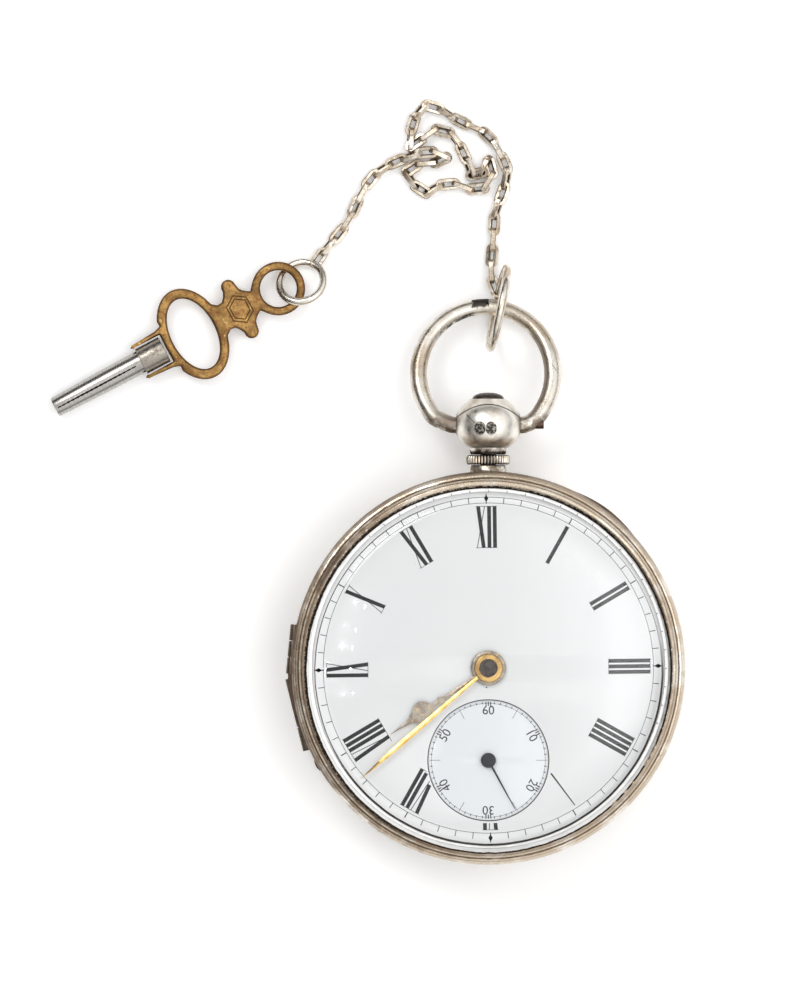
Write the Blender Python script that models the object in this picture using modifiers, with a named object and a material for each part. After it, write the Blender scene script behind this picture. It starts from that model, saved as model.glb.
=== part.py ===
"""An open face pocket watch, key wound, lying on its back with its bow, chain and winding key.

The frame: origin at the middle of the flat on the case back, +Z towards the dial, +Y towards the
pendant. The lengths below are millimetres, and MM turns them into Blender's metres.
"""

import math

import bmesh
import bpy
from mathutils import Matrix, Vector

MM = 0.001
TAU = 2 * math.pi

# Driving dimensions of the case, from the resting plane up
CASE_RADIUS = 25.4
BACK_FLAT_RADIUS = 7.0
BACK_RIM_Z = 3.5
DOME_RIM_Z = 3.05
MIDDLE_Z = (3.62, 10.8)
MIDDLE_RADIUS = 25.0
BEZEL_Z = (10.95, 13.85)
OPENING_RADIUS = 22.75
CRYSTAL_Z = (13.0, 15.3)
ROUND_STEPS = 32

# The pendant stands on the case's edge, along +Y
PENDANT_Z = 7.2
NECK_Y = (22.9, 26.2)
COLLAR_Y = (26.25, 27.5)
BALL_Y = 31.35
BALL_HALF_WIDTH = 4.35
BALL_HALF_LENGTH = 3.45
BUTTON_TOP_Y = 35.6
BUTTON_RADIUS = 2.05
BOW_DROOP = math.radians(17.5)

# The joint between case and bezel, and between case and back
BEZEL_HINGE = {"bearing": math.radians(275.5), "radius": 25.35, "z": 10.85, "length": 6.4}
BACK_HINGE = {"bearing": math.radians(256), "radius": 25.3, "z": 3.62, "length": 9.6}
KNUCKLE_RADIUS = 0.6
KNUCKLE_CLEARANCE = 0.1
HINGE_PIN_RADIUS = 0.22

# The movement, from the back to the dial
COCK_Z = (2.7, 3.25)
BALANCE_Z = (3.45, 3.95)
HAIRSPRING_Z = (4.2, 4.45)
TOP_PLATE_Z = (4.8, 5.5)
PILLAR_PLATE_Z = (8.65, 9.5)
DIAL_Z = (11.0, 11.6)
SUBDIAL_Z = (10.65, 11.2)
DIAL_RADIUS = 22.9
SECONDS_Y = -11.9
SECONDS_RADIUS = 7.8

# The going train: teeth, module and where each arbor stands on the plates
BARREL_TEETH, BARREL_MODULE = 48, 0.36
CENTRE_TEETH, CENTRE_MODULE = 48, 0.26
THIRD_TEETH, THIRD_MODULE = 45, 0.24
FOURTH_TEETH, FOURTH_MODULE = 48, 0.2
CENTRE_LEAVES = 8
TRAIN_LEAVES = 6
ESCAPE_TEETH = 15
ESCAPE_RADIUS = 3.2
MOTION_MODULE = 0.2
CANNON_TEETH, MINUTE_WHEEL_TEETH = 10, 30
MINUTE_PINION_TEETH, HOUR_WHEEL_TEETH = 8, 32

BOW_PIVOT_Y = BALL_Y + 0.15
BOW_RING_Y = 38.05
BOW_RADIUS = 8.7
BOW_WIRE = 2.1
CHAIN_RING_RADIUS = 5.3
CHAIN_RING_SEAT = (1.3, 46.57, 2.43)

# The movement's arbors: the third wheel stands in mesh with both the centre and the fourth
CENTRE_PLACE = (0.0, 0.0)
BARREL_DISTANCE = (BARREL_TEETH + CENTRE_LEAVES) * BARREL_MODULE / 2
BARREL_DIRECTION = math.radians(110)
BARREL_PLACE = (BARREL_DISTANCE * math.cos(BARREL_DIRECTION), BARREL_DISTANCE * math.sin(BARREL_DIRECTION))
FOURTH_PLACE = (0.0, SECONDS_Y)
THIRD_FROM_CENTRE = (CENTRE_TEETH + TRAIN_LEAVES) * CENTRE_MODULE / 2
THIRD_FROM_FOURTH = (THIRD_TEETH + TRAIN_LEAVES) * THIRD_MODULE / 2
THIRD_Y = (THIRD_FROM_CENTRE ** 2 - THIRD_FROM_FOURTH ** 2 + SECONDS_Y ** 2) / (2 * SECONDS_Y)
THIRD_PLACE = (-math.sqrt(THIRD_FROM_CENTRE ** 2 - THIRD_Y ** 2), THIRD_Y)
ESCAPE_DISTANCE = (FOURTH_TEETH + TRAIN_LEAVES) * FOURTH_MODULE / 2
ESCAPE_DIRECTION = math.radians(-10)
ESCAPE_PLACE = (ESCAPE_DISTANCE * math.cos(ESCAPE_DIRECTION),
                SECONDS_Y + ESCAPE_DISTANCE * math.sin(ESCAPE_DIRECTION))
LEVER_DIRECTION = math.radians(60)
ESCAPE_TO_LEVER = 3.85
LEVER_TO_BALANCE = 5.0
LEVER_PLACE = (ESCAPE_PLACE[0] + ESCAPE_TO_LEVER * math.cos(LEVER_DIRECTION),
               ESCAPE_PLACE[1] + ESCAPE_TO_LEVER * math.sin(LEVER_DIRECTION))
BALANCE_PLACE = (LEVER_PLACE[0] + LEVER_TO_BALANCE * math.cos(LEVER_DIRECTION),
                 LEVER_PLACE[1] + LEVER_TO_BALANCE * math.sin(LEVER_DIRECTION))
MOTION_DISTANCE = (CANNON_TEETH + MINUTE_WHEEL_TEETH) * MOTION_MODULE / 2
MOTION_DIRECTION = math.radians(45)
MINUTE_WHEEL_PLACE = (MOTION_DISTANCE * math.cos(MOTION_DIRECTION),
                      MOTION_DISTANCE * math.sin(MOTION_DIRECTION))

# The hands, as bearings clockwise from XII
MINUTE_BEARING = math.radians(229.1)
HOUR_BEARING = math.radians(235.8)
SECONDS_BEARING = math.radians(151.3)

# The winding key, which lies flat beside the watch
KEY_TIP = (-56.2, 33.7)
KEY_BEARING = math.radians(28)
KEY_Z = 1.85
KEY_RING_ALONG = 32.85

# The chain's route from the ring on the bow to the key's split ring
CHAIN_DIAMETER = 1.0
CHAIN_ROUTE = [
    (0.15, 49.7, 0.7), (0.45, 52.6, 0.55), (0.75, 55.6, 0.55), (0.9, 58.6, 0.55), (1.9, 61.6, 0.55),
    (2.65, 64.2, 0.55), (1.7, 66.6, 0.55), (0.5, 68.6, 0.6), (-1.2, 69.9, 0.65), (-3.6, 70.8, 0.55),
    (-5.6, 72.2, 0.55), (-8.0, 73.2, 0.7), (-9.2, 71.9, 0.6), (-10.0, 69.6, 0.55), (-10.1, 67.5, 0.55),
    (-8.7, 68.5, 0.6), (-7.0, 69.8, 0.55), (-4.8, 69.3, 0.55), (-3.4, 67.3, 0.55), (-2.5, 65.2, 0.55),
    (-1.6, 63.3, 0.6), (-0.7, 64.3, 0.9), (-0.1, 65.9, 1.0), (0.7, 64.6, 0.7), (0.0, 62.7, 0.6),
    (-1.5, 61.7, 0.55), (-3.4, 62.7, 0.55), (-6.2, 62.6, 0.55), (-8.4, 61.4, 0.6), (-9.6, 62.7, 0.6),
    (-10.6, 64.3, 0.55), (-8.6, 65.4, 0.6), (-5.9, 65.5, 0.75), (-5.5, 66.6, 1.4), (-8.2, 66.9, 1.5),
    (-11.2, 65.9, 0.9), (-14.2, 64.4, 0.55), (-16.4, 61.6, 0.55), (-18.2, 57.8, 0.55), (-21.9, 53.3, 0.55),
]

CASE_SILVER = ("case_silver", (0.78, 0.73, 0.67), 1.0, 0.32)
OLD_BRASS = ("old_brass", (0.62, 0.49, 0.27), 1.0, 0.42)
GILT = ("gilt_brass", (0.83, 0.62, 0.28), 1.0, 0.34)
STEEL = ("steel", (0.55, 0.54, 0.52), 1.0, 0.3)
BLUED_STEEL = ("blued_steel", (0.03, 0.04, 0.07), 1.0, 0.28)
GOLD = ("hand_gold", (0.85, 0.6, 0.22), 1.0, 0.25)
ENAMEL = ("dial_enamel", (0.88, 0.9, 0.91), 0.0, 0.12)
GLASS = ("crystal_glass", (0.95, 0.96, 0.97), 0.0, 0.03)

for old in list(bpy.data.objects):
    bpy.data.objects.remove(old)

watch = bpy.data.collections.new("pocket_watch")
bpy.context.scene.collection.children.link(watch)
cutters = bpy.data.collections.new("pocket_watch_cutters")
cutters.hide_render = True
bpy.context.scene.collection.children.link(cutters)


def finish(obj, name, look, home=watch):
    """Names an object, gives it its own material and puts it in its collection."""
    obj.name = name
    obj.data.name = name
    for collection in list(obj.users_collection):
        collection.objects.unlink(obj)
    home.objects.link(obj)
    if look is None:
        obj.hide_render = True
        obj.display_type = "WIRE"
        return obj
    slot, colour, metallic, roughness = look
    material = bpy.data.materials.new(f"{slot}_{name}")
    material.use_nodes = True
    shader = material.node_tree.nodes["Principled BSDF"]
    shader.inputs["Base Color"].default_value = (*colour, 1)
    shader.inputs["Metallic"].default_value = metallic
    shader.inputs["Roughness"].default_value = roughness
    obj.data.materials.clear()
    obj.data.materials.append(material)
    return obj


def at(x, y, z):
    return Vector((x, y, z)) * MM


def towards(bearing, radius):
    """The x and y of a point this far from the centre, at a bearing clockwise from XII."""
    return radius * math.sin(bearing), radius * math.cos(bearing)


def turned(name, profile, look, place=(0, 0, 0), steps=ROUND_STEPS, home=watch):
    """A piece turned about Z. The profile is (radius, z) from top to bottom along its outer side.
    One that starts and ends on the axis is solid, and any other is closed into a ring."""
    mesh = bpy.data.meshes.new(name)
    points = [(radius * MM, 0, z * MM) for radius, z in profile]
    edges = [(i, i + 1) for i in range(len(points) - 1)]
    if profile[0][0] > 0:
        edges.append((len(points) - 1, 0))
    mesh.from_pydata(points, edges, [])
    obj = bpy.data.objects.new(name, mesh)
    obj.location = at(*place)
    screw = obj.modifiers.new("turn", "SCREW")
    screw.steps = screw.render_steps = steps
    screw.use_merge_vertices = True
    screw.merge_threshold = 1e-6
    return finish(obj, name, look, home)


def frozen(obj):
    """The object as a plain mesh object with its modifiers applied and its ends welded."""
    bpy.context.view_layer.update()
    graph = bpy.context.evaluated_depsgraph_get()
    mesh = bpy.data.meshes.new_from_object(obj.evaluated_get(graph))
    shape = bmesh.new()
    shape.from_mesh(mesh)
    bmesh.ops.remove_doubles(shape, verts=shape.verts, dist=1e-7)
    bmesh.ops.recalc_face_normals(shape, faces=shape.faces)
    shape.to_mesh(mesh)
    shape.free()
    solid = bpy.data.objects.new(obj.name, mesh)
    solid.matrix_world = obj.matrix_world.copy()
    for collection in obj.users_collection:
        collection.objects.link(solid)
    name = obj.name
    solid.hide_render = obj.hide_render
    solid.display_type = obj.display_type
    bpy.data.objects.remove(obj)
    solid.name = name
    return solid


def cylinder(name, look, place, radius, z_range, sides=16, home=watch):
    """An upright cylinder at x, y between two heights."""
    mesh = bpy.data.meshes.new(name)
    shape = bmesh.new()
    depth = (z_range[1] - z_range[0]) * MM
    bmesh.ops.create_cone(shape, cap_ends=True, segments=sides, radius1=radius * MM,
                          radius2=radius * MM, depth=depth)
    shape.to_mesh(mesh)
    shape.free()
    obj = bpy.data.objects.new(name, mesh)
    obj.location = at(place[0], place[1], (z_range[0] + z_range[1]) / 2)
    return finish(obj, name, look, home)


def plate_outline(name, outlines, look, z_range, place=(0, 0), turn=0.0, home=watch):
    """A flat piece cut along closed outlines of (x, y) points. Every outline after the first is a
    hole in it. turn rotates it about its origin."""
    curve = bpy.data.curves.new(name, "CURVE")
    curve.dimensions = "2D"
    curve.fill_mode = "BOTH"
    curve.extrude = (z_range[1] - z_range[0]) / 2 * MM
    for outline in outlines:
        spline = curve.splines.new("POLY")
        spline.points.add(len(outline) - 1)
        for point, (x, y) in zip(spline.points, outline):
            point.co = (x * MM, y * MM, 0, 1)
        spline.use_cyclic_u = True
    obj = bpy.data.objects.new(name, curve)
    obj.location = at(place[0], place[1], (z_range[0] + z_range[1]) / 2)
    obj.rotation_euler.z = turn
    return finish(obj, name, look, home)


def wire(name, points, diameter, look, closed=False, sides_level=2):
    """A round wire along points in millimetres, with filled ends unless it is closed."""
    curve = bpy.data.curves.new(name, "CURVE")
    curve.dimensions = "3D"
    curve.bevel_depth = diameter / 2 * MM
    curve.bevel_resolution = sides_level
    curve.use_fill_caps = True
    spline = curve.splines.new("POLY")
    spline.points.add(len(points) - 1)
    for point, place in zip(spline.points, points):
        point.co = (*at(*place), 1)
    spline.use_cyclic_u = closed
    return finish(bpy.data.objects.new(name, curve), name, look)


def cut(obj, *tools, operation="DIFFERENCE"):
    for tool in tools:
        boolean = obj.modifiers.new(f"{operation.lower()} {tool.name}", "BOOLEAN")
        boolean.operation = operation
        boolean.solver = "EXACT"
        boolean.object = tool
    return obj


def drill(obj, name, holes, z_range, sides=12):
    """Cuts round holes, each (x, y, radius), through the object between two heights."""
    for number, (x, y, radius) in enumerate(holes):
        cut(obj, cylinder(f"{name}_{number}", None, (x, y), radius, z_range, sides, cutters))
    return obj


def joined(body, *others):
    """Boolean union of the body with the other solids, which are used up as cutters."""
    for other in others:
        other.hide_render = True
        other.display_type = "WIRE"
        for collection in list(other.users_collection):
            collection.objects.unlink(other)
        cutters.objects.link(other)
    return cut(body, *others, operation="UNION")


def circle_points(radius, count, centre=(0, 0), start=0.0):
    return [(centre[0] + radius * math.cos(start + TAU * i / count),
             centre[1] + radius * math.sin(start + TAU * i / count)) for i in range(count)]


def toothed(teeth, module):
    """A gear outline of two points a tooth, its tip and the valley after it. The first tooth
    points along +X."""
    pitch_radius = teeth * module / 2
    points = []
    for corner in range(teeth * 2):
        angle = TAU * corner / teeth / 2
        radius = pitch_radius + (-1.3 if corner % 2 else 0.8) * module
        points.append((radius * math.cos(angle), radius * math.sin(angle)))
    return points


def crossings(spokes, inner, outer, spoke_width):
    """The windows between a wheel's spokes, as outlines."""
    windows = []
    for number in range(spokes):
        middle = TAU * (number + 0.5) / spokes
        window = []
        for radius, count in ((outer, 4), (inner, 2)):
            half = TAU / spokes / 2 - spoke_width / 2 / radius
            arc = [middle - half + 2 * half * i / (count - 1) for i in range(count)]
            if radius == inner:
                arc.reverse()
            window += [(radius * math.cos(angle), radius * math.sin(angle)) for angle in arc]
        windows.append(window)
    return windows


def mesh_turn(turn, teeth, other_teeth, place, other_place):
    """The turn that puts the other gear's gap opposite a tooth of this one."""
    direction = math.atan2(other_place[1] - place[1], other_place[0] - place[0])
    offset = (direction - turn) * teeth / TAU
    return direction + math.pi - TAU / other_teeth * (0.5 - offset)


# How each wheel and pinion is turned at rest, so that tooth meets gap all along the train
CENTRE_TURN = 0.0
BARREL_TURN = mesh_turn(0.0, CENTRE_LEAVES, BARREL_TEETH, CENTRE_PLACE, BARREL_PLACE)
THIRD_PINION_TURN = mesh_turn(CENTRE_TURN, CENTRE_TEETH, TRAIN_LEAVES, CENTRE_PLACE, THIRD_PLACE)
THIRD_TURN = 0.0
FOURTH_PINION_TURN = mesh_turn(THIRD_TURN, THIRD_TEETH, TRAIN_LEAVES, THIRD_PLACE, FOURTH_PLACE)
FOURTH_TURN = 0.0
ESCAPE_PINION_TURN = mesh_turn(FOURTH_TURN, FOURTH_TEETH, TRAIN_LEAVES, FOURTH_PLACE, ESCAPE_PLACE)

# Frames: the pendant's axis runs along +Y, and the bow turns about X in the ball
PENDANT_FRAME = Matrix.Translation(at(0, 0, PENDANT_Z)) @ Matrix.Rotation(-math.pi / 2, 4, "X")
BOW_AXIS = Matrix.Translation(at(0, BOW_PIVOT_Y, PENDANT_Z)) @ Matrix.Rotation(math.pi / 2, 4, "Y")
BOW_FRAME = Matrix.Translation(at(0, BOW_PIVOT_Y, PENDANT_Z)) @ Matrix.Rotation(-BOW_DROOP, 4, "X")


# ---- case ---------------------------------------------------------------------------------------

def along_hinge(name, hinge, radius, start, end, look=None, home=cutters, sides=12):
    """A round bar along a hinge's axis, from start to end measured from the hinge's middle."""
    obj = cylinder(name, look, (0, 0), radius, (start, end), sides, home)
    x, y = towards(hinge["bearing"], hinge["radius"])
    outward = Vector((x, y, 0)).normalized()
    axis = Vector((0, 0, 1)).cross(outward)
    turn = Matrix((outward, axis.cross(outward), axis)).transposed()
    middle = at(x, y, hinge["z"]) + axis * (start + end) / 2 * MM
    obj.matrix_world = Matrix.Translation(middle) @ turn.to_4x4()
    return obj


def bracket(name, hinge, start, end, z_range):
    """The block that carries a knuckle on its cover or on the case middle."""
    x, y = towards(hinge["bearing"], hinge["radius"] - 0.55)
    mesh = bpy.data.meshes.new(name)
    shape = bmesh.new()
    bmesh.ops.create_cube(shape, size=1)
    size = at(1.0, end - start, z_range[1] - z_range[0])
    bmesh.ops.scale(shape, verts=shape.verts, vec=size)
    shape.to_mesh(mesh)
    shape.free()
    obj = bpy.data.objects.new(name, mesh)
    outward = Vector((x, y, 0)).normalized()
    axis = Vector((0, 0, 1)).cross(outward)
    obj.location = at(x, y, sum(z_range) / 2) + axis * (start + end) / 2 * MM
    obj.rotation_euler.z = math.atan2(y, x)
    return finish(obj, name, None, cutters)


def hinge_knuckles(cover, middle, hinge, name, bracket_z):
    """Three knuckles on one pin: the middle one on the cover, the outer two on the case."""
    half, third = hinge["length"] / 2, hinge["length"] / 6
    gap = KNUCKLE_CLEARANCE
    room = KNUCKLE_RADIUS + gap
    cut(cover, along_hinge(f"{name}_room_a", hinge, room, -half - gap, -third),
        along_hinge(f"{name}_room_b", hinge, room, third, half + gap))
    cut(middle, along_hinge(f"{name}_room_c", hinge, room, -third, third))
    cut(cover, along_hinge(f"{name}_knuckle", hinge, KNUCKLE_RADIUS, -third + gap / 2, third - gap / 2),
        operation="UNION")
    for side, start, end in (("a", -half, -third - gap / 2), ("b", third + gap / 2, half)):
        cut(middle, bracket(f"{name}_bracket_{side}", hinge, start + gap, end - gap, bracket_z),
            along_hinge(f"{name}_knuckle_{side}", hinge, KNUCKLE_RADIUS, start, end), operation="UNION")
    bore = along_hinge(f"{name}_bore", hinge, HINGE_PIN_RADIUS + 0.08, -half - 1, half + 1)
    cut(cover, bore)
    cut(middle, bore)
    along_hinge(f"{name}_pin", hinge, HINGE_PIN_RADIUS, -half, half, STEEL, watch, 8)


def make_case():
    back = turned("case_back", [
        (23.85, BACK_RIM_Z), (25.2, BACK_RIM_Z), (25.35, 3.2), (24.8, 2.4), (23.4, 1.65),
        (21.0, 1.0), (16.0, 0.36), (BACK_FLAT_RADIUS, 0), (0, 0), (0, 0.45),
        (8.0, 0.48), (16.0, 0.82), (21.0, 1.45), (23.85, 2.6),
    ], CASE_SILVER)

    dome = turned("inner_dome", [
        (0, 1.4), (13.0, 1.5), (18.0, 1.9), (22.85, DOME_RIM_Z + 0.4), (22.85, DOME_RIM_Z),
        (18.0, 1.55), (13.0, 1.15), (0, 1.05),
    ], GILT)
    drill(dome, "winding_hole", [(*BARREL_PLACE, 2.0)], (0.5, 2.5), 16)

    low, high = MIDDLE_Z
    middle = turned("case_middle", [
        (23.15, 11.7), (23.7, 11.7), (23.7, high), (24.6, high), (MIDDLE_RADIUS, 10.2),
        (MIDDLE_RADIUS, 4.2), (24.6, low), (23.7, low), (23.7, 3.0), (22.95, 3.0), (22.95, low),
        (21.7, low), (21.7, 8.55), (22.5, 8.6), (22.5, 10.9), (23.15, 10.9),
    ], CASE_SILVER)
    neck_hole = cylinder("neck_hole", None, (0, 0), 2.45, (21.0, 26.0), 20, cutters)
    neck_hole.matrix_world = PENDANT_FRAME @ neck_hole.matrix_basis
    cut(middle, neck_hole)

    low, high = BEZEL_Z
    bezel = turned("bezel", [
        (23.0, high - 0.08), (23.4, high), (23.95, 13.65), (24.3, 13.2), (24.4, 12.98),
        (24.9, 12.85), (25.3, 12.2), (CASE_RADIUS, 11.6), (25.2, low), (23.85, low),
        (23.85, 11.95), (OPENING_RADIUS, 11.95), (OPENING_RADIUS, 12.92), (23.3, 12.92),
        (23.3, 13.4), (22.95, 13.4),
    ], CASE_SILVER)
    hinge_knuckles(bezel, middle, BEZEL_HINGE, "bezel_hinge", (9.5, 10.6))
    hinge_knuckles(back, middle, BACK_HINGE, "back_hinge", (3.95, 5.0))

    low, high = CRYSTAL_Z
    turned("crystal", [
        (0, high), (13.0, 15.0), (19.0, 14.45), (21.9, 13.95), (22.65, 13.28), (23.2, 13.28),
        (23.2, low), (22.3, low), (21.4, 13.4), (18.5, 13.9), (13.0, 14.35), (0, 14.65),
    ], GLASS)


# ---- pendant, bow and its ring ------------------------------------------------------------------

def make_pendant():
    low, high = NECK_Y
    neck = turned("pendant_neck", [(1.25, high), (2.35, high), (2.35, low), (1.25, low)],
                  CASE_SILVER, steps=20)

    ridges = 30
    knurl = []
    for ridge in range(ridges * 2):
        angle = TAU * ridge / ridges / 2
        radius = 2.83 if ridge % 2 else 2.62
        knurl.append((radius * math.cos(angle), radius * math.sin(angle)))
    collar = plate_outline("pendant_collar", [knurl, circle_points(1.35, 12)], CASE_SILVER, COLLAR_Y)

    ball_profile = [(1.3, 33.55), (2.2, 33.55), (2.2, BALL_Y + BALL_HALF_LENGTH)]
    for degrees in (60, 38, 18, 0, -20, -40, -58):
        angle = math.radians(degrees)
        ball_profile.append((BALL_HALF_WIDTH * math.cos(angle) ** 0.9,
                             BALL_Y + BALL_HALF_LENGTH * math.sin(angle)))
    ball_profile += [(2.3, 27.55), (1.3, 27.55)]
    ball = turned("pendant_ball", ball_profile, CASE_SILVER, steps=20)

    button = turned("push_piece", [
        (0, BUTTON_TOP_Y), (1.0, BUTTON_TOP_Y - 0.08), (1.75, BUTTON_TOP_Y - 0.35),
        (BUTTON_RADIUS, BUTTON_TOP_Y - 0.7), (BUTTON_RADIUS, 34.45), (1.0, 34.45), (1.0, 22.35),
        (0, 22.35),
    ], STEEL, steps=20)
    for obj in (neck, collar, ball, button):
        obj.matrix_world = PENDANT_FRAME @ obj.matrix_basis

    for side, ends in (("left", (-6, -2.75)), ("right", (2.75, 6))):
        socket = cylinder(f"bow_socket_{side}", None, (0, 0), 1.2, ends, 16, cutters)
        socket.matrix_world = BOW_AXIS @ socket.matrix_basis
        cut(ball, socket)

    strip = []
    for radius, order in ((21.5, 1), (21.2, -1)):
        arc = [math.radians(90 - 24 + 6 * i) for i in range(9)][::order]
        strip += [(radius * math.cos(angle), radius * math.sin(angle)) for angle in arc]
    plate_outline("lock_spring", [strip], STEEL, (6.3, 8.1))


def bow_outline():
    """The bow's centre line in its own plane, from one pivot end to the other."""
    cos_droop = math.cos(BOW_DROOP)
    centre_v = (BOW_RING_Y - BOW_PIVOT_Y) / cos_droop
    height = BOW_RADIUS / cos_droop
    side = [(2.95, 0.0), (4.6, 0.0), (5.3, 0.15), (6.1, 0.75)]
    arc = []
    for step in range(19):
        angle = math.radians(-32 + step * (244 / 18))
        arc.append((BOW_RADIUS * math.cos(angle), centre_v + height * math.sin(angle)))
    left = [(-x, v) for x, v in reversed(side)]
    return [(x, v, 0) for x, v in side + arc + left]


def make_bow():
    bow = frozen(wire("bow", bow_outline(), BOW_WIRE, CASE_SILVER))
    bow.matrix_world = BOW_FRAME
    hole = cylinder("bow_screw_hole", None, (0, 0), 0.8, (5.0, 9.0), 12, cutters)
    hole.matrix_world = BOW_AXIS @ hole.matrix_basis
    cut(bow, hole)
    screw = cylinder("bow_screw", STEEL, (0, 0), 0.62, (5.15, 7.2), 12)
    screw.matrix_world = BOW_AXIS @ screw.matrix_basis
    ring = torus("chain_ring", CHAIN_RING_RADIUS, 0.5, CASE_SILVER)
    upright = Vector((0.979, -0.205, -0.055)).to_track_quat("Z", "Y").to_matrix().to_4x4()
    ring.matrix_world = Matrix.Translation(at(1.35, 46.55, 5.87)) @ upright


def torus(name, radius, wire_radius, look, steps=28, sides=8):
    bpy.ops.mesh.primitive_torus_add(major_radius=radius * MM, minor_radius=wire_radius * MM,
                                     major_segments=steps, minor_segments=sides)
    return finish(bpy.context.active_object, name, look)


# ---- dial and hands -----------------------------------------------------------------------------

def hand_outline(hub_radius, half):
    """A hand that points along +Y: the arc of its hub, then its right half mirrored on the left."""
    open_half = math.asin(half[0][0] / hub_radius)
    hub = []
    for step in range(13):
        angle = math.pi / 2 - open_half - (TAU - 2 * open_half) * step / 12
        hub.append((hub_radius * math.cos(angle), hub_radius * math.sin(angle)))
    right = half[1:]
    left = [(-x, y) for x, y in right[:-1]]
    return hub + left + right[::-1]


def make_dial_and_hands():
    dial = cylinder("dial", ENAMEL, (0, 0), DIAL_RADIUS, DIAL_Z, 40)
    drill(dial, "centre_hole", [(0, 0, 1.65)], (10, 13), 20)
    drill(dial, "seconds_opening", [(0, SECONDS_Y, SECONDS_RADIUS)], (10, 13), 28)
    seconds_dial = cylinder("seconds_dial", ENAMEL, (0, SECONDS_Y), SECONDS_RADIUS - 0.06, SUBDIAL_Z, 28)
    drill(seconds_dial, "seconds_hole", [(0, SECONDS_Y, 0.45)], (10, 13))

    hour = [(0.3, 2.2), (0.25, 7.0), (0.6, 7.45), (0.25, 7.9), (0.3, 8.7), (1.05, 9.2), (1.5, 9.9),
            (1.42, 10.6), (0.85, 11.4), (0.35, 12.2), (0.14, 13.5), (0, 15.3)]
    plate_outline("hour_hand", [hand_outline(2.25, hour), circle_points(1.52, 16)], GOLD,
                  (12.0, 12.15), turn=-HOUR_BEARING)
    minute = [(0.24, 1.8), (0.33, 14.0), (0.24, 18.5), (0, 21.8)]
    plate_outline("minute_hand", [hand_outline(1.85, minute), circle_points(1.15, 16)], GOLD,
                  (12.42, 12.6), turn=-MINUTE_BEARING)
    seconds = [(0.14, 0.95), (0.1, 4.5), (0, 7.3)]
    plate_outline("seconds_hand", [hand_outline(0.97, seconds), circle_points(0.31, 10)],
                  BLUED_STEEL, (11.72, 11.86), (0, SECONDS_Y), turn=-SECONDS_BEARING)


# ---- motion work, between the pillar plate and the dial ------------------------------------------

def make_motion_work():
    cannon = turned("cannon_pinion", [
        (0, 12.68), (1.1, 12.68), (1.1, 10.36), (0.74, 10.36), (0.74, 9.6), (0.56, 9.6),
        (0.56, 12.55), (0, 12.55),
    ], STEEL, steps=16)
    leaves = plate_outline("cannon_leaves", [toothed(CANNON_TEETH, MOTION_MODULE),
                                             circle_points(0.65, 16)], None, (9.65, 10.36), home=cutters)
    square = cylinder("setting_square", None, (0, 0), 0.9, (12.6, 13.1), 4, cutters)
    joined(cannon, frozen(leaves), square)

    turn = mesh_turn(0, CANNON_TEETH, MINUTE_WHEEL_TEETH, (0, 0), MINUTE_WHEEL_PLACE)
    wheel = plate_outline("minute_wheel", [toothed(MINUTE_WHEEL_TEETH, MOTION_MODULE),
                                           circle_points(0.42, 10)],
                          GILT, (9.68, 9.98), MINUTE_WHEEL_PLACE, turn)
    wheel = frozen(wheel)
    pinion = plate_outline("minute_pinion_leaves", [toothed(MINUTE_PINION_TEETH, MOTION_MODULE),
                                                    circle_points(0.42, 10)],
                           None, (9.9, 10.85), MINUTE_WHEEL_PLACE, 0, cutters)
    joined(wheel, frozen(pinion))
    cylinder("minute_wheel_stud", STEEL, MINUTE_WHEEL_PLACE, 0.35, (9.55, 10.92), 10)

    turn = mesh_turn(0, MINUTE_PINION_TEETH, HOUR_WHEEL_TEETH, MINUTE_WHEEL_PLACE, (0, 0))
    hour = frozen(plate_outline("hour_wheel", [toothed(HOUR_WHEEL_TEETH, MOTION_MODULE),
                                               circle_points(1.2, 16)], GILT, (10.42, 10.75), (0, 0), turn))
    pipe = turned("hour_pipe", [(1.2, 12.2), (1.46, 12.2), (1.46, 10.5), (1.2, 10.5)], None,
                  steps=16, home=cutters)
    joined(hour, frozen(pipe))


# ---- plates, barrel and train -------------------------------------------------------------------

def make_plates():
    pivots = [(*CENTRE_PLACE, 0.6), (*THIRD_PLACE, 0.25), (*FOURTH_PLACE, 0.25), (*ESCAPE_PLACE, 0.25),
              (*LEVER_PLACE, 0.25)]
    top = cylinder("top_plate", GILT, (0, 0), 20.6, TOP_PLATE_Z, 32)
    drill(top, "top_hole", pivots + [(*BALANCE_PLACE, 0.9), (*BARREL_PLACE, 1.1)], (4, 6), 8)
    pillar_plate = cylinder("pillar_plate", GILT, (0, 0), 22.35, PILLAR_PLATE_Z, 32)
    upper = [pivots[0], pivots[1], (*FOURTH_PLACE, 0.45), pivots[3], pivots[4]]
    upper += [(*BALANCE_PLACE, 0.25), (*BARREL_PLACE, 0.85)]
    drill(pillar_plate, "pillar_hole", upper, (8, 10), 8)
    for number, bearing in enumerate((35, 215, 300)):
        place = towards(math.radians(bearing), 19.4)
        turned(f"pillar_{number + 1}", [
            (0, 8.6), (1.0, 8.6), (1.0, 8.2), (0.7, 7.6), (0.7, 6.5), (1.0, 5.9), (1.0, 5.55), (0, 5.55),
        ], GILT, (*place, 0), 10)


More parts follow.
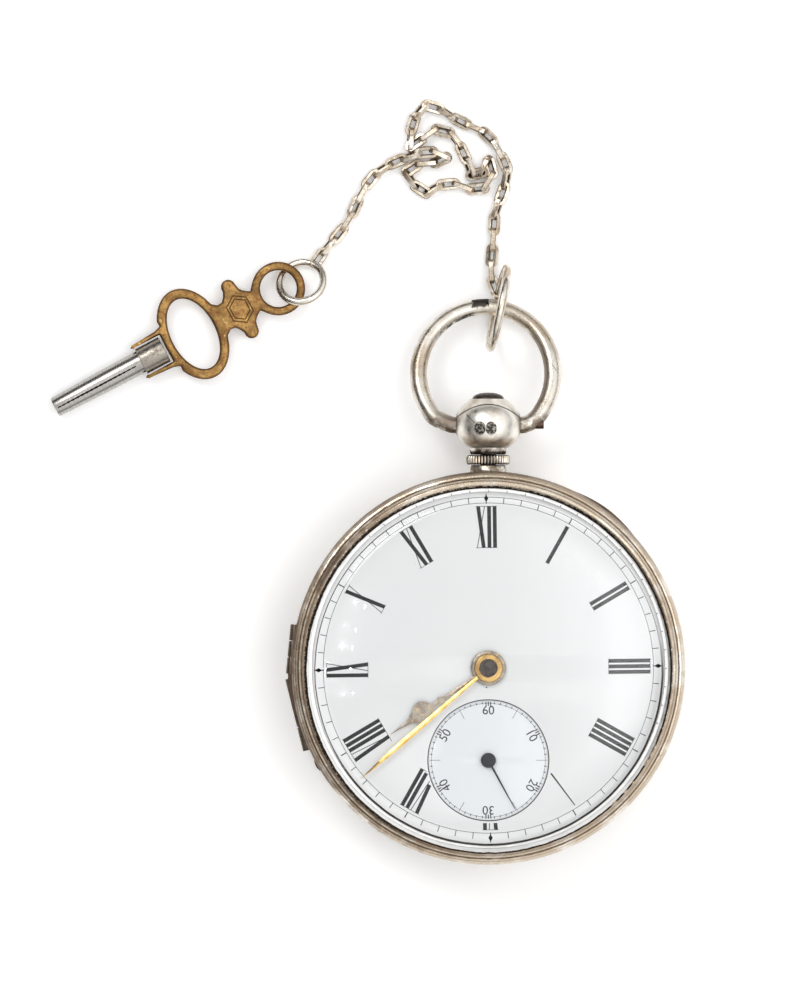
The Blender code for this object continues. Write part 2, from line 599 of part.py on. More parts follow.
def spiral_strip(name, place, radii, turns, thickness, z_range, look, points_a_turn=10):
    """A flat spring wound in a spiral, made of an upright ribbon with Solidify."""
    mesh = bpy.data.meshes.new(name)
    shape = bmesh.new()
    count = int(turns * points_a_turn)
    previous = None
    for step in range(count + 1):
        angle = TAU * step / points_a_turn
        radius = radii[0] + (radii[1] - radii[0]) * step / count
        x, y = radius * math.cos(angle), radius * math.sin(angle)
        pair = [shape.verts.new(at(x, y, z)) for z in z_range]
        if previous:
            shape.faces.new((previous[0], pair[0], pair[1], previous[1]))
        previous = pair
    shape.to_mesh(mesh)
    shape.free()
    obj = bpy.data.objects.new(name, mesh)
    obj.location = at(*place, 0)
    solid = obj.modifiers.new("thickness", "SOLIDIFY")
    solid.thickness = thickness * MM
    solid.offset = 0
    return finish(obj, name, look)


def make_barrel():
    turned("barrel", [
        (7.45, 8.3), (7.75, 8.3), (7.75, 6.3), (1.05, 6.3), (1.05, 6.75), (7.45, 6.75),
    ], GILT, (*BARREL_PLACE, 0), 24)
    plate_outline("great_wheel", [toothed(BARREL_TEETH, BARREL_MODULE), circle_points(7.82, 24)], GILT,
                  (6.3, 6.8), BARREL_PLACE, BARREL_TURN)
    turned("barrel_cover", [(0.95, 8.2), (7.35, 8.2), (7.35, 7.95), (0.95, 7.95)], GILT,
           (*BARREL_PLACE, 0), 24)
    arbor = turned("barrel_arbor", [
        (0, 9.3), (0.75, 9.3), (0.75, 7.88), (2.1, 7.88), (2.1, 6.85), (0.95, 6.85), (0.95, 4.0),
        (0, 4.0),
    ], STEEL, (*BARREL_PLACE, 0), 16)
    square = cylinder("winding_square", None, BARREL_PLACE, 1.15, (1.75, 4.05), 4, cutters)
    joined(arbor, square)
    spiral_strip("mainspring", BARREL_PLACE, (2.6, 7.1), 4, 0.22, (6.9, 7.85), STEEL)

    ratchet = []
    ratchet_teeth = 20
    for tooth in range(ratchet_teeth):
        angle = TAU * tooth / ratchet_teeth
        ratchet += [(3.6 * math.cos(angle), 3.6 * math.sin(angle)),
                    (3.1 * math.cos(angle + 0.03), 3.1 * math.sin(angle + 0.03))]
    plate_outline("ratchet_wheel", [ratchet, circle_points(1.02, 12)], STEEL, (4.15, 4.65), BARREL_PLACE)
    click_place = (BARREL_PLACE[0] + 5.2, BARREL_PLACE[1] + 2.4)
    click = [(0.75, 0.0), (0.55, 0.6), (-0.3, 0.75), (-0.9, 0.35), (-1.75, -0.95), (-1.6, -1.2),
             (-0.6, -0.6), (0.3, -0.75)]
    plate_outline("click", [click, circle_points(0.3, 8)], STEEL, (4.2, 4.6), click_place)
    cylinder("click_screw", STEEL, click_place, 0.24, (3.95, 4.75), 8)
    spring = [(0.95, 1.3), (0.8, 1.55), (-2.2, 1.25), (-4.6, 2.5), (-5.6, 2.4), (-5.5, 1.9), (-4.7, 2.0),
              (-2.3, 1.0)]
    plate_outline("click_spring", [spring], STEEL, (4.25, 4.55), click_place)


def arbor_with_leaves(name, place, leaves, module, leaf_z, turn, profile):
    """A steel arbor turned to a profile, with a leaved pinion cut on it."""
    arbor = turned(name, profile, STEEL, (*place, 0), 8)
    pinion = plate_outline(f"{name}_leaves", [toothed(leaves, module)], None, leaf_z, place, turn,
                           cutters)
    return joined(arbor, frozen(pinion))


def train_arbor(top, low_pivot=5.05, radius=0.42, pivot=0.18):
    """The profile of an arbor, thin at its two pivots."""
    return [(0, top), (pivot, top), (pivot, 8.6), (radius, 8.6), (radius, 5.6), (pivot, 5.6),
            (pivot, low_pivot), (0, low_pivot)]


def wheel(name, teeth, module, z_range, place, turn, rim, spokes=4, bore=0.46):
    """A spoked gear wheel. rim is the radius where its spokes end."""
    outline = toothed(teeth, module)
    windows = crossings(spokes, 1.3, rim, 0.8)
    return plate_outline(name, [outline, circle_points(bore, 8)] + windows, GILT, z_range, place, turn)


def make_train():
    arbor_with_leaves("centre_arbor", CENTRE_PLACE, CENTRE_LEAVES, BARREL_MODULE, (6.15, 6.95), 0, [
        (0, 12.45), (0.5, 12.45), (0.5, 5.05), (0, 5.05)])
    wheel("centre_wheel", CENTRE_TEETH, CENTRE_MODULE, (5.75, 6.05), CENTRE_PLACE, CENTRE_TURN, 5.2,
          bore=0.54)
    arbor_with_leaves("third_arbor", THIRD_PLACE, TRAIN_LEAVES, CENTRE_MODULE, (5.65, 6.2),
                      THIRD_PINION_TURN, train_arbor(9.3))
    wheel("third_wheel", THIRD_TEETH, THIRD_MODULE, (7.2, 7.5), THIRD_PLACE, THIRD_TURN, 4.5)
    arbor_with_leaves("fourth_arbor", FOURTH_PLACE, TRAIN_LEAVES, THIRD_MODULE, (7.0, 7.65),
                      FOURTH_PINION_TURN, train_arbor(11.9, pivot=0.25))
    wheel("fourth_wheel", FOURTH_TEETH, FOURTH_MODULE, (6.45, 6.7), FOURTH_PLACE, FOURTH_TURN, 3.9)
    arbor_with_leaves("escape_arbor", ESCAPE_PLACE, TRAIN_LEAVES, FOURTH_MODULE, (6.35, 6.85),
                      ESCAPE_PINION_TURN, train_arbor(9.3))
    escape = []
    for tooth in range(ESCAPE_TEETH):
        angle = TAU * tooth / ESCAPE_TEETH
        for radius, share in ((ESCAPE_RADIUS, 0.0), (ESCAPE_RADIUS, 0.12), (2.35, 0.42), (2.35, 0.8)):
            turn = angle + share * TAU / ESCAPE_TEETH
            escape.append((radius * math.cos(turn), radius * math.sin(turn)))
    plate_outline("escape_wheel", [escape, circle_points(0.46, 8)] + crossings(4, 0.9, 1.95, 0.4), STEEL,
                  (7.55, 7.8), ESCAPE_PLACE)


def make_escapement():
    lever = [(0.5, 0.55), (2.9, 0.2), (3.3, 0.55), (3.75, 0.6), (3.75, 0.3), (3.45, 0.25), (3.4, 0.0)]
    lever += [(x, -y) for x, y in reversed(lever[:-1])]
    arm = [(-0.2, 0.65), (-0.45, 2.35), (-0.95, 2.35), (-0.95, 1.95), (-0.62, 0.3)]
    outline = lever + [(x, -y) for x, y in arm] + list(reversed(arm))
    plate_outline("pallet_lever", [outline, circle_points(0.3, 8)], STEEL, (7.5, 7.85), LEVER_PLACE,
                  LEVER_DIRECTION)
    turned("lever_arbor", train_arbor(9.3, radius=0.26), STEEL, (*LEVER_PLACE, 0), 8)

    balance = [circle_points(7.2, 40), circle_points(0.42, 8)] + crossings(3, 1.2, 6.6, 0.7)
    plate_outline("balance_wheel", balance, GOLD, BALANCE_Z, BALANCE_PLACE)
    turned("balance_staff", [
        (0, 9.2), (0.15, 9.2), (0.15, 8.6), (0.38, 8.6), (0.38, 3.35), (0.15, 3.35), (0.15, 2.75),
        (0, 2.75),
    ], STEEL, (*BALANCE_PLACE, 0), 8)
    roller = frozen(plate_outline("roller", [circle_points(1.5, 16), circle_points(0.42, 8)], STEEL,
                                  (6.9, 7.25), BALANCE_PLACE))
    pin_place = (BALANCE_PLACE[0] - 1.15 * math.cos(LEVER_DIRECTION),
                 BALANCE_PLACE[1] - 1.15 * math.sin(LEVER_DIRECTION))
    joined(roller, cylinder("impulse_pin", None, pin_place, 0.14, (7.2, 7.45), 8, cutters))
    spiral_strip("hairspring", BALANCE_PLACE, (0.9, 3.4), 4, 0.1, HAIRSPRING_Z, BLUED_STEEL)


def make_cock():
    """The balance cock: a table over the balance and a foot outside its rim."""
    bearing = math.atan2(BALANCE_PLACE[1], BALANCE_PLACE[0])
    centre = math.hypot(*BALANCE_PLACE)
    table = [(centre + 2.6 * math.cos(math.radians(a)), 2.6 * math.sin(math.radians(a)))
             for a in range(60, 301, 30)]
    foot_end = [(19.9, -3.6), (20.3, 0), (19.9, 3.6)]
    table += [(18.2, -3.6)] + foot_end + [(18.2, 3.6)]
    cock = frozen(plate_outline("balance_cock", [table], GILT, COCK_Z, turn=bearing))
    foot = plate_outline("cock_foot", [[(18.5, -3.6)] + foot_end + [(18.5, 3.6)]], None, (3.0, 4.75),
                         turn=bearing, home=cutters)
    joined(cock, frozen(foot))
    screw_place = (19.35 * math.cos(bearing), 19.35 * math.sin(bearing))
    drill(cock, "cock_hole", [(*BALANCE_PLACE, 0.25), (*screw_place, 0.62)], (2, 5), 10)
    cylinder("cock_screw", STEEL, screw_place, 0.56, (COCK_Z[0] + 0.05, 4.7), 10)
    arm = [(0.9, -0.3), (4.4, -0.12), (4.9, 0), (4.4, 0.12), (0.9, 0.3)]
    ring = [(0.95 * math.cos(math.radians(a)), 0.95 * math.sin(math.radians(a)))
            for a in range(30, 331, 30)]
    plate_outline("regulator", [ring + arm, circle_points(0.4, 8)], STEEL,
                  (COCK_Z[0] - 0.32, COCK_Z[0] - 0.06), BALANCE_PLACE, bearing + math.radians(150))


# ---- chain and key ------------------------------------------------------------------------------

def smooth_route(points, spacing):
    """Points at even steps along the smooth curve (Catmull-Rom) through a route's own points."""
    fine = []
    last = len(points) - 1
    for i in range(last):
        before, start, end, after = (Vector(points[max(0, min(last, i + k))]) for k in (-1, 0, 1, 2))
        slope = end - before
        bend = 2 * before - 5 * start + 4 * end - after
        twist = 3 * start - before - 3 * end + after
        for step in range(12):
            t = step / 12
            fine.append(0.5 * (2 * start + slope * t + bend * t ** 2 + twist * t ** 3))
    fine.append(Vector(points[-1]))
    total = sum((b - a).length for a, b in zip(fine, fine[1:]))
    count = round(total / spacing)
    even, walked, target = [fine[0]], 0.0, total / count
    for a, b in zip(fine, fine[1:]):
        length = (b - a).length
        while walked + length >= target * len(even) and len(even) < count:
            even.append(a.lerp(b, (target * len(even) - walked) / length))
        walked += length
    return even + [fine[-1]]


def half_key_outline():
    """One half of the handle's outline by distance along the key and across it."""
    half = [(16.35, 0.0), (16.4, 1.95), (12.4, 2.0), (12.2, 2.15), (12.6, 2.4), (16.75, 2.75)]
    for angle in range(145, 29, -23):
        half.append((20.3 + 3.95 * math.cos(math.radians(angle)), 6.15 * math.sin(math.radians(angle))))
    half += [(24.7, 2.3), (25.9, 2.65)]
    for angle in range(195, -20, -42):
        lobe = math.radians(angle)
        half.append((27.2 + 0.95 * math.cos(lobe), 3.25 + 0.95 * math.sin(lobe)))
    half += [(28.6, 2.55), (29.5, 1.75)]
    for angle in range(140, 0, -28):
        turn = math.radians(angle)
        half.append((KEY_RING_ALONG + 3.5 * math.cos(turn), 3.5 * math.sin(turn)))
    return half + [(36.35, 0.0)]


def make_chain_and_key():
    route = smooth_route(CHAIN_ROUTE, 1.6)
    wire("chain", [tuple(point) for point in route], CHAIN_DIAMETER, CASE_SILVER)

    split_ring = torus("key_ring", 2.95, 0.42, CASE_SILVER, 24)
    low_side = math.radians(110)
    lean = Matrix.Rotation(math.radians(30), 4, Vector((-math.sin(low_side), math.cos(low_side), 0)))
    split_ring.matrix_world = Matrix.Translation(at(-24.2, 50.0, 1.9)) @ lean

    half = half_key_outline()
    outline = half + [(x, -y) for x, y in reversed(half[1:-1])]
    oval = [(20.3 + 2.95 * math.cos(TAU * i / 20), 4.65 * math.sin(TAU * i / 20)) for i in range(20)]
    eye = circle_points(2.5, 16, (KEY_RING_ALONG, 0))
    handle = plate_outline("key_handle", [outline, oval, eye], OLD_BRASS, (-0.6, 0.6))
    pipe = turned("key_pipe", [(0, 16.0), (1.5, 16.0), (1.5, 8.0), (1.3, 0), (0, 0)], STEEL, steps=16)
    ferrule = turned("key_ferrule", [(1.55, 16.1), (1.78, 16.1), (1.78, 12.7), (1.55, 12.7)], OLD_BRASS,
                     steps=16)
    bore = cylinder("key_bore", None, (0, 0), 1.0, (-1, 6), 4, cutters)
    frame = Matrix.Translation(at(*KEY_TIP, KEY_Z)) @ Matrix.Rotation(KEY_BEARING, 4, "Z")
    lie_down = Matrix.Rotation(math.pi / 2, 4, "Y")
    handle.matrix_world = frame @ handle.matrix_basis
    for obj in (pipe, ferrule, bore):
        obj.matrix_world = frame @ lie_down @ obj.matrix_basis
    cut(pipe, bore)


# ---- the axes that the loose assemblies turn about ----------------------------------------------

def pivot(name, place, children, parent=None):
    """An empty on a joint's axis that carries the pieces which turn about it, with their cutters."""
    empty = bpy.data.objects.new(name, None)
    empty.location = at(*place)
    empty.empty_display_size = 2 * MM
    watch.objects.link(empty)
    if parent:
        empty.parent = parent
        empty.matrix_parent_inverse = parent.matrix_world.inverted()
    bpy.context.view_layer.update()
    for child in children:
        piece = bpy.data.objects[child]
        tools = [modifier.object for modifier in piece.modifiers if modifier.type == "BOOLEAN"]
        for obj in [piece] + tools:
            obj.parent = empty
            obj.matrix_parent_inverse = empty.matrix_world.inverted()
    return empty


def make_pivots():
    x, y = towards(BEZEL_HINGE["bearing"], BEZEL_HINGE["radius"])
    pivot("bezel_pivot", (x, y, BEZEL_HINGE["z"]), ("bezel", "crystal"))
    x, y = towards(BACK_HINGE["bearing"], BACK_HINGE["radius"])
    pivot("back_pivot", (x, y, BACK_HINGE["z"]), ("case_back",))
    bow = pivot("bow_pivot", (0, BOW_PIVOT_Y, PENDANT_Z), ("bow", "bow_screw"))
    ring = pivot("chain_pivot", CHAIN_RING_SEAT, ("chain_ring", "chain", "key_ring"), bow)
    end = KEY_RING_ALONG
    seat = (KEY_TIP[0] + end * math.cos(KEY_BEARING), KEY_TIP[1] + end * math.sin(KEY_BEARING), KEY_Z)
    pivot("key_pivot", seat, ("key_handle", "key_ferrule", "key_pipe"), ring)


for make in (make_case, make_pendant, make_bow, make_dial_and_hands, make_motion_work, make_plates,
             make_barrel, make_train, make_escapement, make_cock, make_chain_and_key, make_pivots):
    make()
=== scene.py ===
"""The looks of an open face pocket watch, its bow, chain and winding key, around its CAD frame.

Lengths are millimetres in the row frame (origin under the middle of the case, +Z out of the dial,
+Y to the pendant) unless a line says otherwise. MM turns them into Blender's metres.
"""

import math

import bmesh
import bpy
from mathutils import Matrix, Vector
from mathutils.geometry import tessellate_polygon


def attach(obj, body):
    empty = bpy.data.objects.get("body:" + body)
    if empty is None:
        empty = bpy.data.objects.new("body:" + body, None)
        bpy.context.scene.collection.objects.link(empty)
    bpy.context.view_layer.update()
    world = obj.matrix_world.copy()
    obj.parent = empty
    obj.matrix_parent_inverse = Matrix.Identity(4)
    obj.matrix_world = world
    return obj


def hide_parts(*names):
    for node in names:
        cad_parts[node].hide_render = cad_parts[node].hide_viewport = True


MM = 0.001
TAU = 2 * math.pi

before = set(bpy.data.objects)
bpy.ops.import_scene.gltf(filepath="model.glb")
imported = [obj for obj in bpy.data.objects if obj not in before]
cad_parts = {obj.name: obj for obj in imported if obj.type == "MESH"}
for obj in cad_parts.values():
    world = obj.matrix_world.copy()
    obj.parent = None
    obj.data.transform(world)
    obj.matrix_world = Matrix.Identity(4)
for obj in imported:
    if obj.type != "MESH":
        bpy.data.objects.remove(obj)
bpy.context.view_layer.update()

# ---- camera: straight down over the middle of the layout ----

VIEW_CENTRE = (-11.4, 22.65)
VIEW_WIDTH = 103.2
DIAL_TOP = 11.6
CAMERA_HEIGHT = 1500
FRAME_ASPECT = 800 / 985

lens = bpy.data.cameras.new("camera")
lens.sensor_width = 36.0
lens.lens = lens.sensor_width * CAMERA_HEIGHT / (VIEW_WIDTH / FRAME_ASPECT)
lens.clip_start = 0.01
lens.clip_end = 10.0
camera = bpy.data.objects.new("camera", lens)
camera.location = (VIEW_CENTRE[0] * MM, VIEW_CENTRE[1] * MM, (DIAL_TOP + CAMERA_HEIGHT) * MM)
bpy.context.scene.collection.objects.link(camera)
bpy.context.scene.camera = camera
bpy.context.scene.view_settings.view_transform = "Standard"


# ---- material nodes ----


class Value:
    """A number that a tree's nodes work out. & multiplies two masks, and | takes the larger one."""

    def __init__(self, nodes, socket):
        self.nodes = nodes
        self.socket = socket

    def __add__(self, other):
        return self.nodes.math("ADD", self, other)

    def __sub__(self, other):
        return self.nodes.math("SUBTRACT", self, other)

    def __rsub__(self, other):
        return self.nodes.math("SUBTRACT", other, self)

    def __mul__(self, other):
        return self.nodes.math("MULTIPLY", self, other)

    def __truediv__(self, other):
        return self.nodes.math("DIVIDE", self, other)

    def __and__(self, other):
        return self.nodes.math("MULTIPLY", self, other, clamp=True)

    def __or__(self, other):
        return self.nodes.math("MAXIMUM", self, other)

    def __abs__(self):
        return self.nodes.math("ABSOLUTE", self)

    def step(self, low, high, out_low=0.0, out_high=1.0):
        """A smooth step between out_low, at low, and out_high, at high."""
        node = self.nodes.node("ShaderNodeMapRange", interpolation_type="SMOOTHSTEP")
        for value, socket in zip((self, low, high, out_low, out_high), node.inputs):
            self.nodes.put(value, socket)
        return Value(self.nodes, node.outputs[0])

    def band(self, middle, half, soft):
        """1 within half of middle, falling to 0 over soft."""
        return abs(self - middle).step(half, half + soft, 1.0, 0.0)


class Nodes:
    """A node tree under construction."""

    def __init__(self, tree):
        self.tree = tree

    def node(self, kind, **settings):
        node = self.tree.nodes.new(kind)
        for key, value in settings.items():
            setattr(node, key, value)
        return node

    def put(self, value, socket):
        if isinstance(value, Value):
            value = value.socket
        if isinstance(value, bpy.types.NodeSocket):
            self.tree.links.new(value, socket)
        elif isinstance(value, tuple) and len(value) == 3 and socket.type == "RGBA":
            socket.default_value = (*value, 1)
        else:
            socket.default_value = value

    def math(self, operation, a, b=0.0, clamp=False):
        node = self.node("ShaderNodeMath", operation=operation, use_clamp=clamp)
        self.put(a, node.inputs[0])
        self.put(b, node.inputs[1])
        return Value(self, node.outputs[0])

    def split(self, vector):
        node = self.node("ShaderNodeSeparateXYZ")
        self.put(vector, node.inputs[0])
        return [Value(self, socket) for socket in node.outputs]


class Look(Nodes):
    """A material under construction. Its coordinates are millimetres in the piece's own frame."""

    def __init__(self, name):
        self.material = bpy.data.materials.new(name)
        self.material.use_nodes = True
        super().__init__(self.material.node_tree)
        self.tree.nodes.clear()
        coords = self.node("ShaderNodeTexCoord")
        scale = self.node("ShaderNodeVectorMath", operation="SCALE")
        self.put(coords.outputs["Object"], scale.inputs[0])
        self.put(1 / MM, scale.inputs["Scale"])
        self.place = scale.outputs[0]
        self.x, self.y, self.z = self.split(self.place)

    def vector(self, x, y, z):
        node = self.node("ShaderNodeCombineXYZ")
        for value, socket in zip((x, y, z), node.inputs):
            self.put(value, socket)
        return node.outputs[0]

    def length(self, x, y):
        node = self.node("ShaderNodeVectorMath", operation="LENGTH")
        self.put(self.vector(x, y, 0.0), node.inputs[0])
        return Value(self, node.outputs["Value"])

    def radius(self):
        return self.length(self.x, self.y)

    def bearing(self, degrees, half, soft):
        """1 within half of a bearing (degrees clockwise from XII) about the watch's centre."""
        turn = math.radians(degrees)
        cosine = (self.x * math.sin(turn) + self.y * math.cos(turn)) / self.radius()
        far, near = math.radians(min(180, half + soft)), math.radians(half)
        return cosine.step(math.cos(far), math.cos(near))

    def noise(self, size, detail, roughness, shift=0.0, stretch=(1, 1, 1), place=None):
        """Noise whose features are about size millimetres across, 0 to 1 around 0.5."""
        moved = self.node("ShaderNodeMapping")
        self.put(place or self.place, moved.inputs[0])
        moved.inputs["Location"].default_value = (shift, shift * 1.7, shift * 0.6)
        moved.inputs["Scale"].default_value = stretch
        node = self.node("ShaderNodeTexNoise")
        self.put(moved.outputs[0], node.inputs["Vector"])
        self.put(1 / size, node.inputs["Scale"])
        self.put(detail, node.inputs["Detail"])
        self.put(roughness, node.inputs["Roughness"])
        return Value(self, node.outputs["Fac"])

    def scratches(self, size, stretch, shift):
        """Fine lines: noise pulled long in one direction, cut to its thin crests."""
        return self.noise(size, 2.0, 0.5, shift, stretch).band(0.5, 0.004, 0.012)

    def mix(self, share, a, b):
        node = self.node("ShaderNodeMix", data_type="RGBA")
        colours = [socket for socket in node.inputs if socket.type == "RGBA"]
        for value, socket in zip((share, a, b), (node.inputs["Factor"], *colours)):
            self.put(value, socket)
        return next(socket for socket in node.outputs if socket.type == "RGBA")

    def paint(self, colour, *layers):
        """A colour under layers of (mask, colour), the last of them on top."""
        for mask, tint in layers:
            colour = self.mix(mask, colour, tint)
        return colour

    def bump(self, height, distance, strength, normal=None):
        node = self.node("ShaderNodeBump")
        self.put(strength, node.inputs["Strength"])
        self.put(distance * MM, node.inputs["Distance"])
        self.put(height, node.inputs["Height"])
        if normal:
            self.put(normal, node.inputs["Normal"])
        return node.outputs[0]

    def principled(self, colour, roughness, metallic=0.0, normal=None, **settings):
        """The usual shader. settings are more of its sockets, with _ for a space in a name."""
        node = self.node("ShaderNodeBsdfPrincipled")
        self.put(colour, node.inputs["Base Color"])
        self.put(roughness, node.inputs["Roughness"])
        self.put(metallic, node.inputs["Metallic"])
        for name, value in settings.items():
            self.put(value, node.inputs[name.replace("_", " ")])
        if normal:
            self.put(normal, node.inputs["Normal"])
        return node.outputs[0]

    def layered(self, share, under, over):
        node = self.node("ShaderNodeMixShader")
        for value, socket in zip((share, under, over), node.inputs):
            self.put(value, socket)
        return node.outputs[0]

    def done(self, shader):
        self.put(shader, self.node("ShaderNodeOutputMaterial").inputs["Surface"])
        return self.material


# ---- looks ----

SILVER_BRIGHT = (0.76, 0.71, 0.63)
SILVER_WARM = (0.52, 0.43, 0.33)
TARNISH_AND_SHADE = (0.15, 0.10, 0.065)
BLACKENED = (0.02, 0.015, 0.012)
SEAT_WHITE = (0.92, 0.92, 0.91)
KEY_TIP = (-56.2, 33.7, 1.85)
KEY_TURN = math.radians(28)
CRYSTAL_BEVEL = 22.36


def silver(name, warm, tarnish, masks=None, *, rough, patch=2.2, dents=0.5, bright=SILVER_BRIGHT):
    """Worn silver: warm clouding, brown tarnish in blotches, hairline scratches and small dents.
    masks is a function of the look that returns more (mask, colour) layers to lay on top."""
    look = Look(name)
    clouds = look.noise(patch * 2.0, 4, 0.6, 3.1).step(0.62 - 0.4 * warm, 0.85 - 0.4 * warm)
    blotches = look.noise(patch, 6, 0.65, 8.7).step(0.70 - 0.3 * tarnish, 0.86 - 0.3 * tarnish)
    specks = look.noise(0.22, 2, 0.5, 5.3).step(0.70, 0.76)
    layers = masks(look) if masks else []
    colour = look.paint(bright, (clouds, SILVER_WARM), (blotches & 0.75, TARNISH_AND_SHADE),
                        (specks & 0.6, TARNISH_AND_SHADE), *layers)
    roughness = look.noise(1.1, 4, 0.6, 2.0).step(0.3, 0.7, rough - 0.07, rough + 0.1)
    for mask, share in [(blotches, 0.25)] + [(mask, 0.2) for mask, _ in layers]:
        roughness += mask & share
    normal = look.bump(look.noise(1.6, 3, 0.5, 6.0), 0.05 * dents, 0.6)
    lines = look.scratches(1.4, (1, 7, 1), 1.0) | look.scratches(1.7, (6, 1, 1), 4.0)
    normal = look.bump(lines, 0.004, 0.5, normal)
    return look.done(look.principled(colour, roughness, 1.0, normal))


def bezel_layers(look):
    """Dirt in the bezel's groove and on the slope inside it, heavier on some sides, and painted
    shade on its left side and at its outer edge by the hinges.
    The black line on the slope is dirt with a painted shadow of the gap by the crystal, over the
    seat under the crystal, which is painted near white as a stand-in for the white dial seen
    through the crystal's rim."""
    radius = look.radius()
    near = radius + (look.noise(1.4, 4, 0.7, 2.2) - 0.5) * 0.25
    lowered = near + look.y * 0.011
    # left: blotches of tarnish colour on the bezel's left side, partly tarnish and partly painted
    # shade for the dimmer left.
    left = look.bearing(262, 52, 30) & look.noise(1.8, 6, 0.75, 4.0).step(0.40, 0.66) & 0.65
    # low_left: painted shade at the bezel's outer edge by the hinges, which lie low.
    low_left = look.bearing(259, 22, 8) & radius.step(24.9, 25.2) & 0.9
    inner_left = look.bearing(262, 58, 22) & near.band(23.72, 0.34, 0.22) & 0.7
    outer = look.bearing(345, 60, 22) & radius.step(24.85, 25.25) & 0.75
    patch = look.bearing(302, 5, 4) & near.band(24.25, 0.25, 0.3) & 0.8
    groove = near.band(24.57, 0.05, 0.09) & look.noise(3.0, 3, 0.6).step(0.15, 0.45) & 0.9
    brown = near.band(23.85, 0.12, 0.25) & look.bearing(135, 60, 30) & 0.6
    nicks = near.band(23.72, 0.05, 0.07) & look.noise(0.5, 3, 0.7, 3.3).step(0.56, 0.62)
    # The seat under the crystal is painted near white: painted light standing in for the white dial
    # seen through the crystal's rim.
    under = look.z.step(13.3, 13.2) & radius.step(23.6, 23.5)
    seat = under | lowered.step(23.46, 23.38)
    specks = look.noise(0.30, 3, 0.7, 9.0).step(0.50, 0.60)
    heavy = look.bearing(20, 22, 12) | look.bearing(290, 76, 16)
    # The black line along the slope by the crystal is dirt and a painted shadow of the gap between
    # bezel and crystal.
    thin = lowered.band(23.54, 0.06, 0.08)
    thick = lowered.band(23.60, 0.14, 0.12) & heavy & (1.0 - (specks & 0.7))
    gaps = look.bearing(122, 14, 3) & look.noise(1.1, 2, 0.5, 13.0).step(0.52, 0.56)
    slope = (thin | thick) & look.z.step(13.2, 13.3) & (1.0 - gaps)
    brown_masks = (left, low_left, inner_left, outer, patch, groove, brown)
    # These brown layers are tarnish, except left and low_left, which are partly or wholly painted
    # shade.
    tarnished = [(mask, TARNISH_AND_SHADE) for mask in brown_masks]
    return [*tarnished, (nicks, SILVER_BRIGHT), (seat, SEAT_WHITE), (slope, BLACKENED)]


def middle_layers(look):
    """Brown patches on the band, and dirt in its corners and round the pendant's neck."""
    patches = look.noise(3.5, 5, 0.65, 7.0).step(0.46, 0.64) & 0.6
    corners = (look.z.band(3.7, 0.15, 0.3) | look.z.band(10.75, 0.12, 0.25)) & 0.85
    round_neck = (look.y - 24.5).step(-0.6, 0.1) & 0.8
    return [(patches, TARNISH_AND_SHADE), (corners, BLACKENED), (round_neck, TARNISH_AND_SHADE)]


def back_layers(look):
    """Fine scratches from wear, and a tarnished rim."""
    scuffs = (look.scratches(3.0, (1, 9, 1), 11.0) | look.scratches(2.6, (8, 2, 1), 14.0)
              | look.scratches(2.2, (3, 5, 1), 17.0))
    rim = look.radius().step(24.2, 25.2) & look.noise(2.0, 4, 0.6).step(0.35, 0.6) & 0.8
    return [(scuffs & 0.35, SILVER_WARM), (rim, TARNISH_AND_SHADE)]


def ball_layers(look):
    """The seam that arches over the ball, its two oval punch marks, dirt by the bow's sockets and
    at the foot, and a black band where the foot meets the collar."""
    front = look.z.step(7.4, 8.2)
    arch = (look.y + look.x * look.x * 0.10).band(34.02, 0.035, 0.09)
    seam = arch & look.z.step(6.2, 7.2) & 0.85
    marks = []
    for middle in (-1.08, 0.36):
        across, up = (look.x - middle) / 0.76, (look.y - 30.95) / 0.90
        marks.append((across * across + up * up).step(0.75, 1.15, 1.0, 0.0))
    wear = look.noise(0.30, 3, 0.6, 3.0).step(0.38, 0.50)
    punched = (marks[0] | marks[1]) & front & (wear | 0.6) & 0.95
    foot = look.y.step(28.7, 28.0) & look.noise(1.0, 4, 0.6).step(0.35, 0.6)
    # root: a black band at the foot, where the ball meets the collar.
    root = look.y.step(28.1, 27.85) & 0.85
    sockets = abs(look.x).step(3.75, 4.2) & 0.8
    nick = (look.x + look.y).band(29.9, 0.02, 0.09) & look.x.band(-2.3, 0.45, 0.2) & front
    return [(sockets, TARNISH_AND_SHADE), (foot, TARNISH_AND_SHADE), (root, BLACKENED), (seam, BLACKENED),
            (nick, BLACKENED), (punched, BLACKENED)]


def collar_layers(look):
    """Dirt and painted shade between the collar's teeth, by distance from the pendant's axis."""
    height = look.z - 7.2
    away = look.math("SQRT", look.x * look.x + height * height)
    return [(away.step(2.70, 2.58) & 0.9, BLACKENED)]


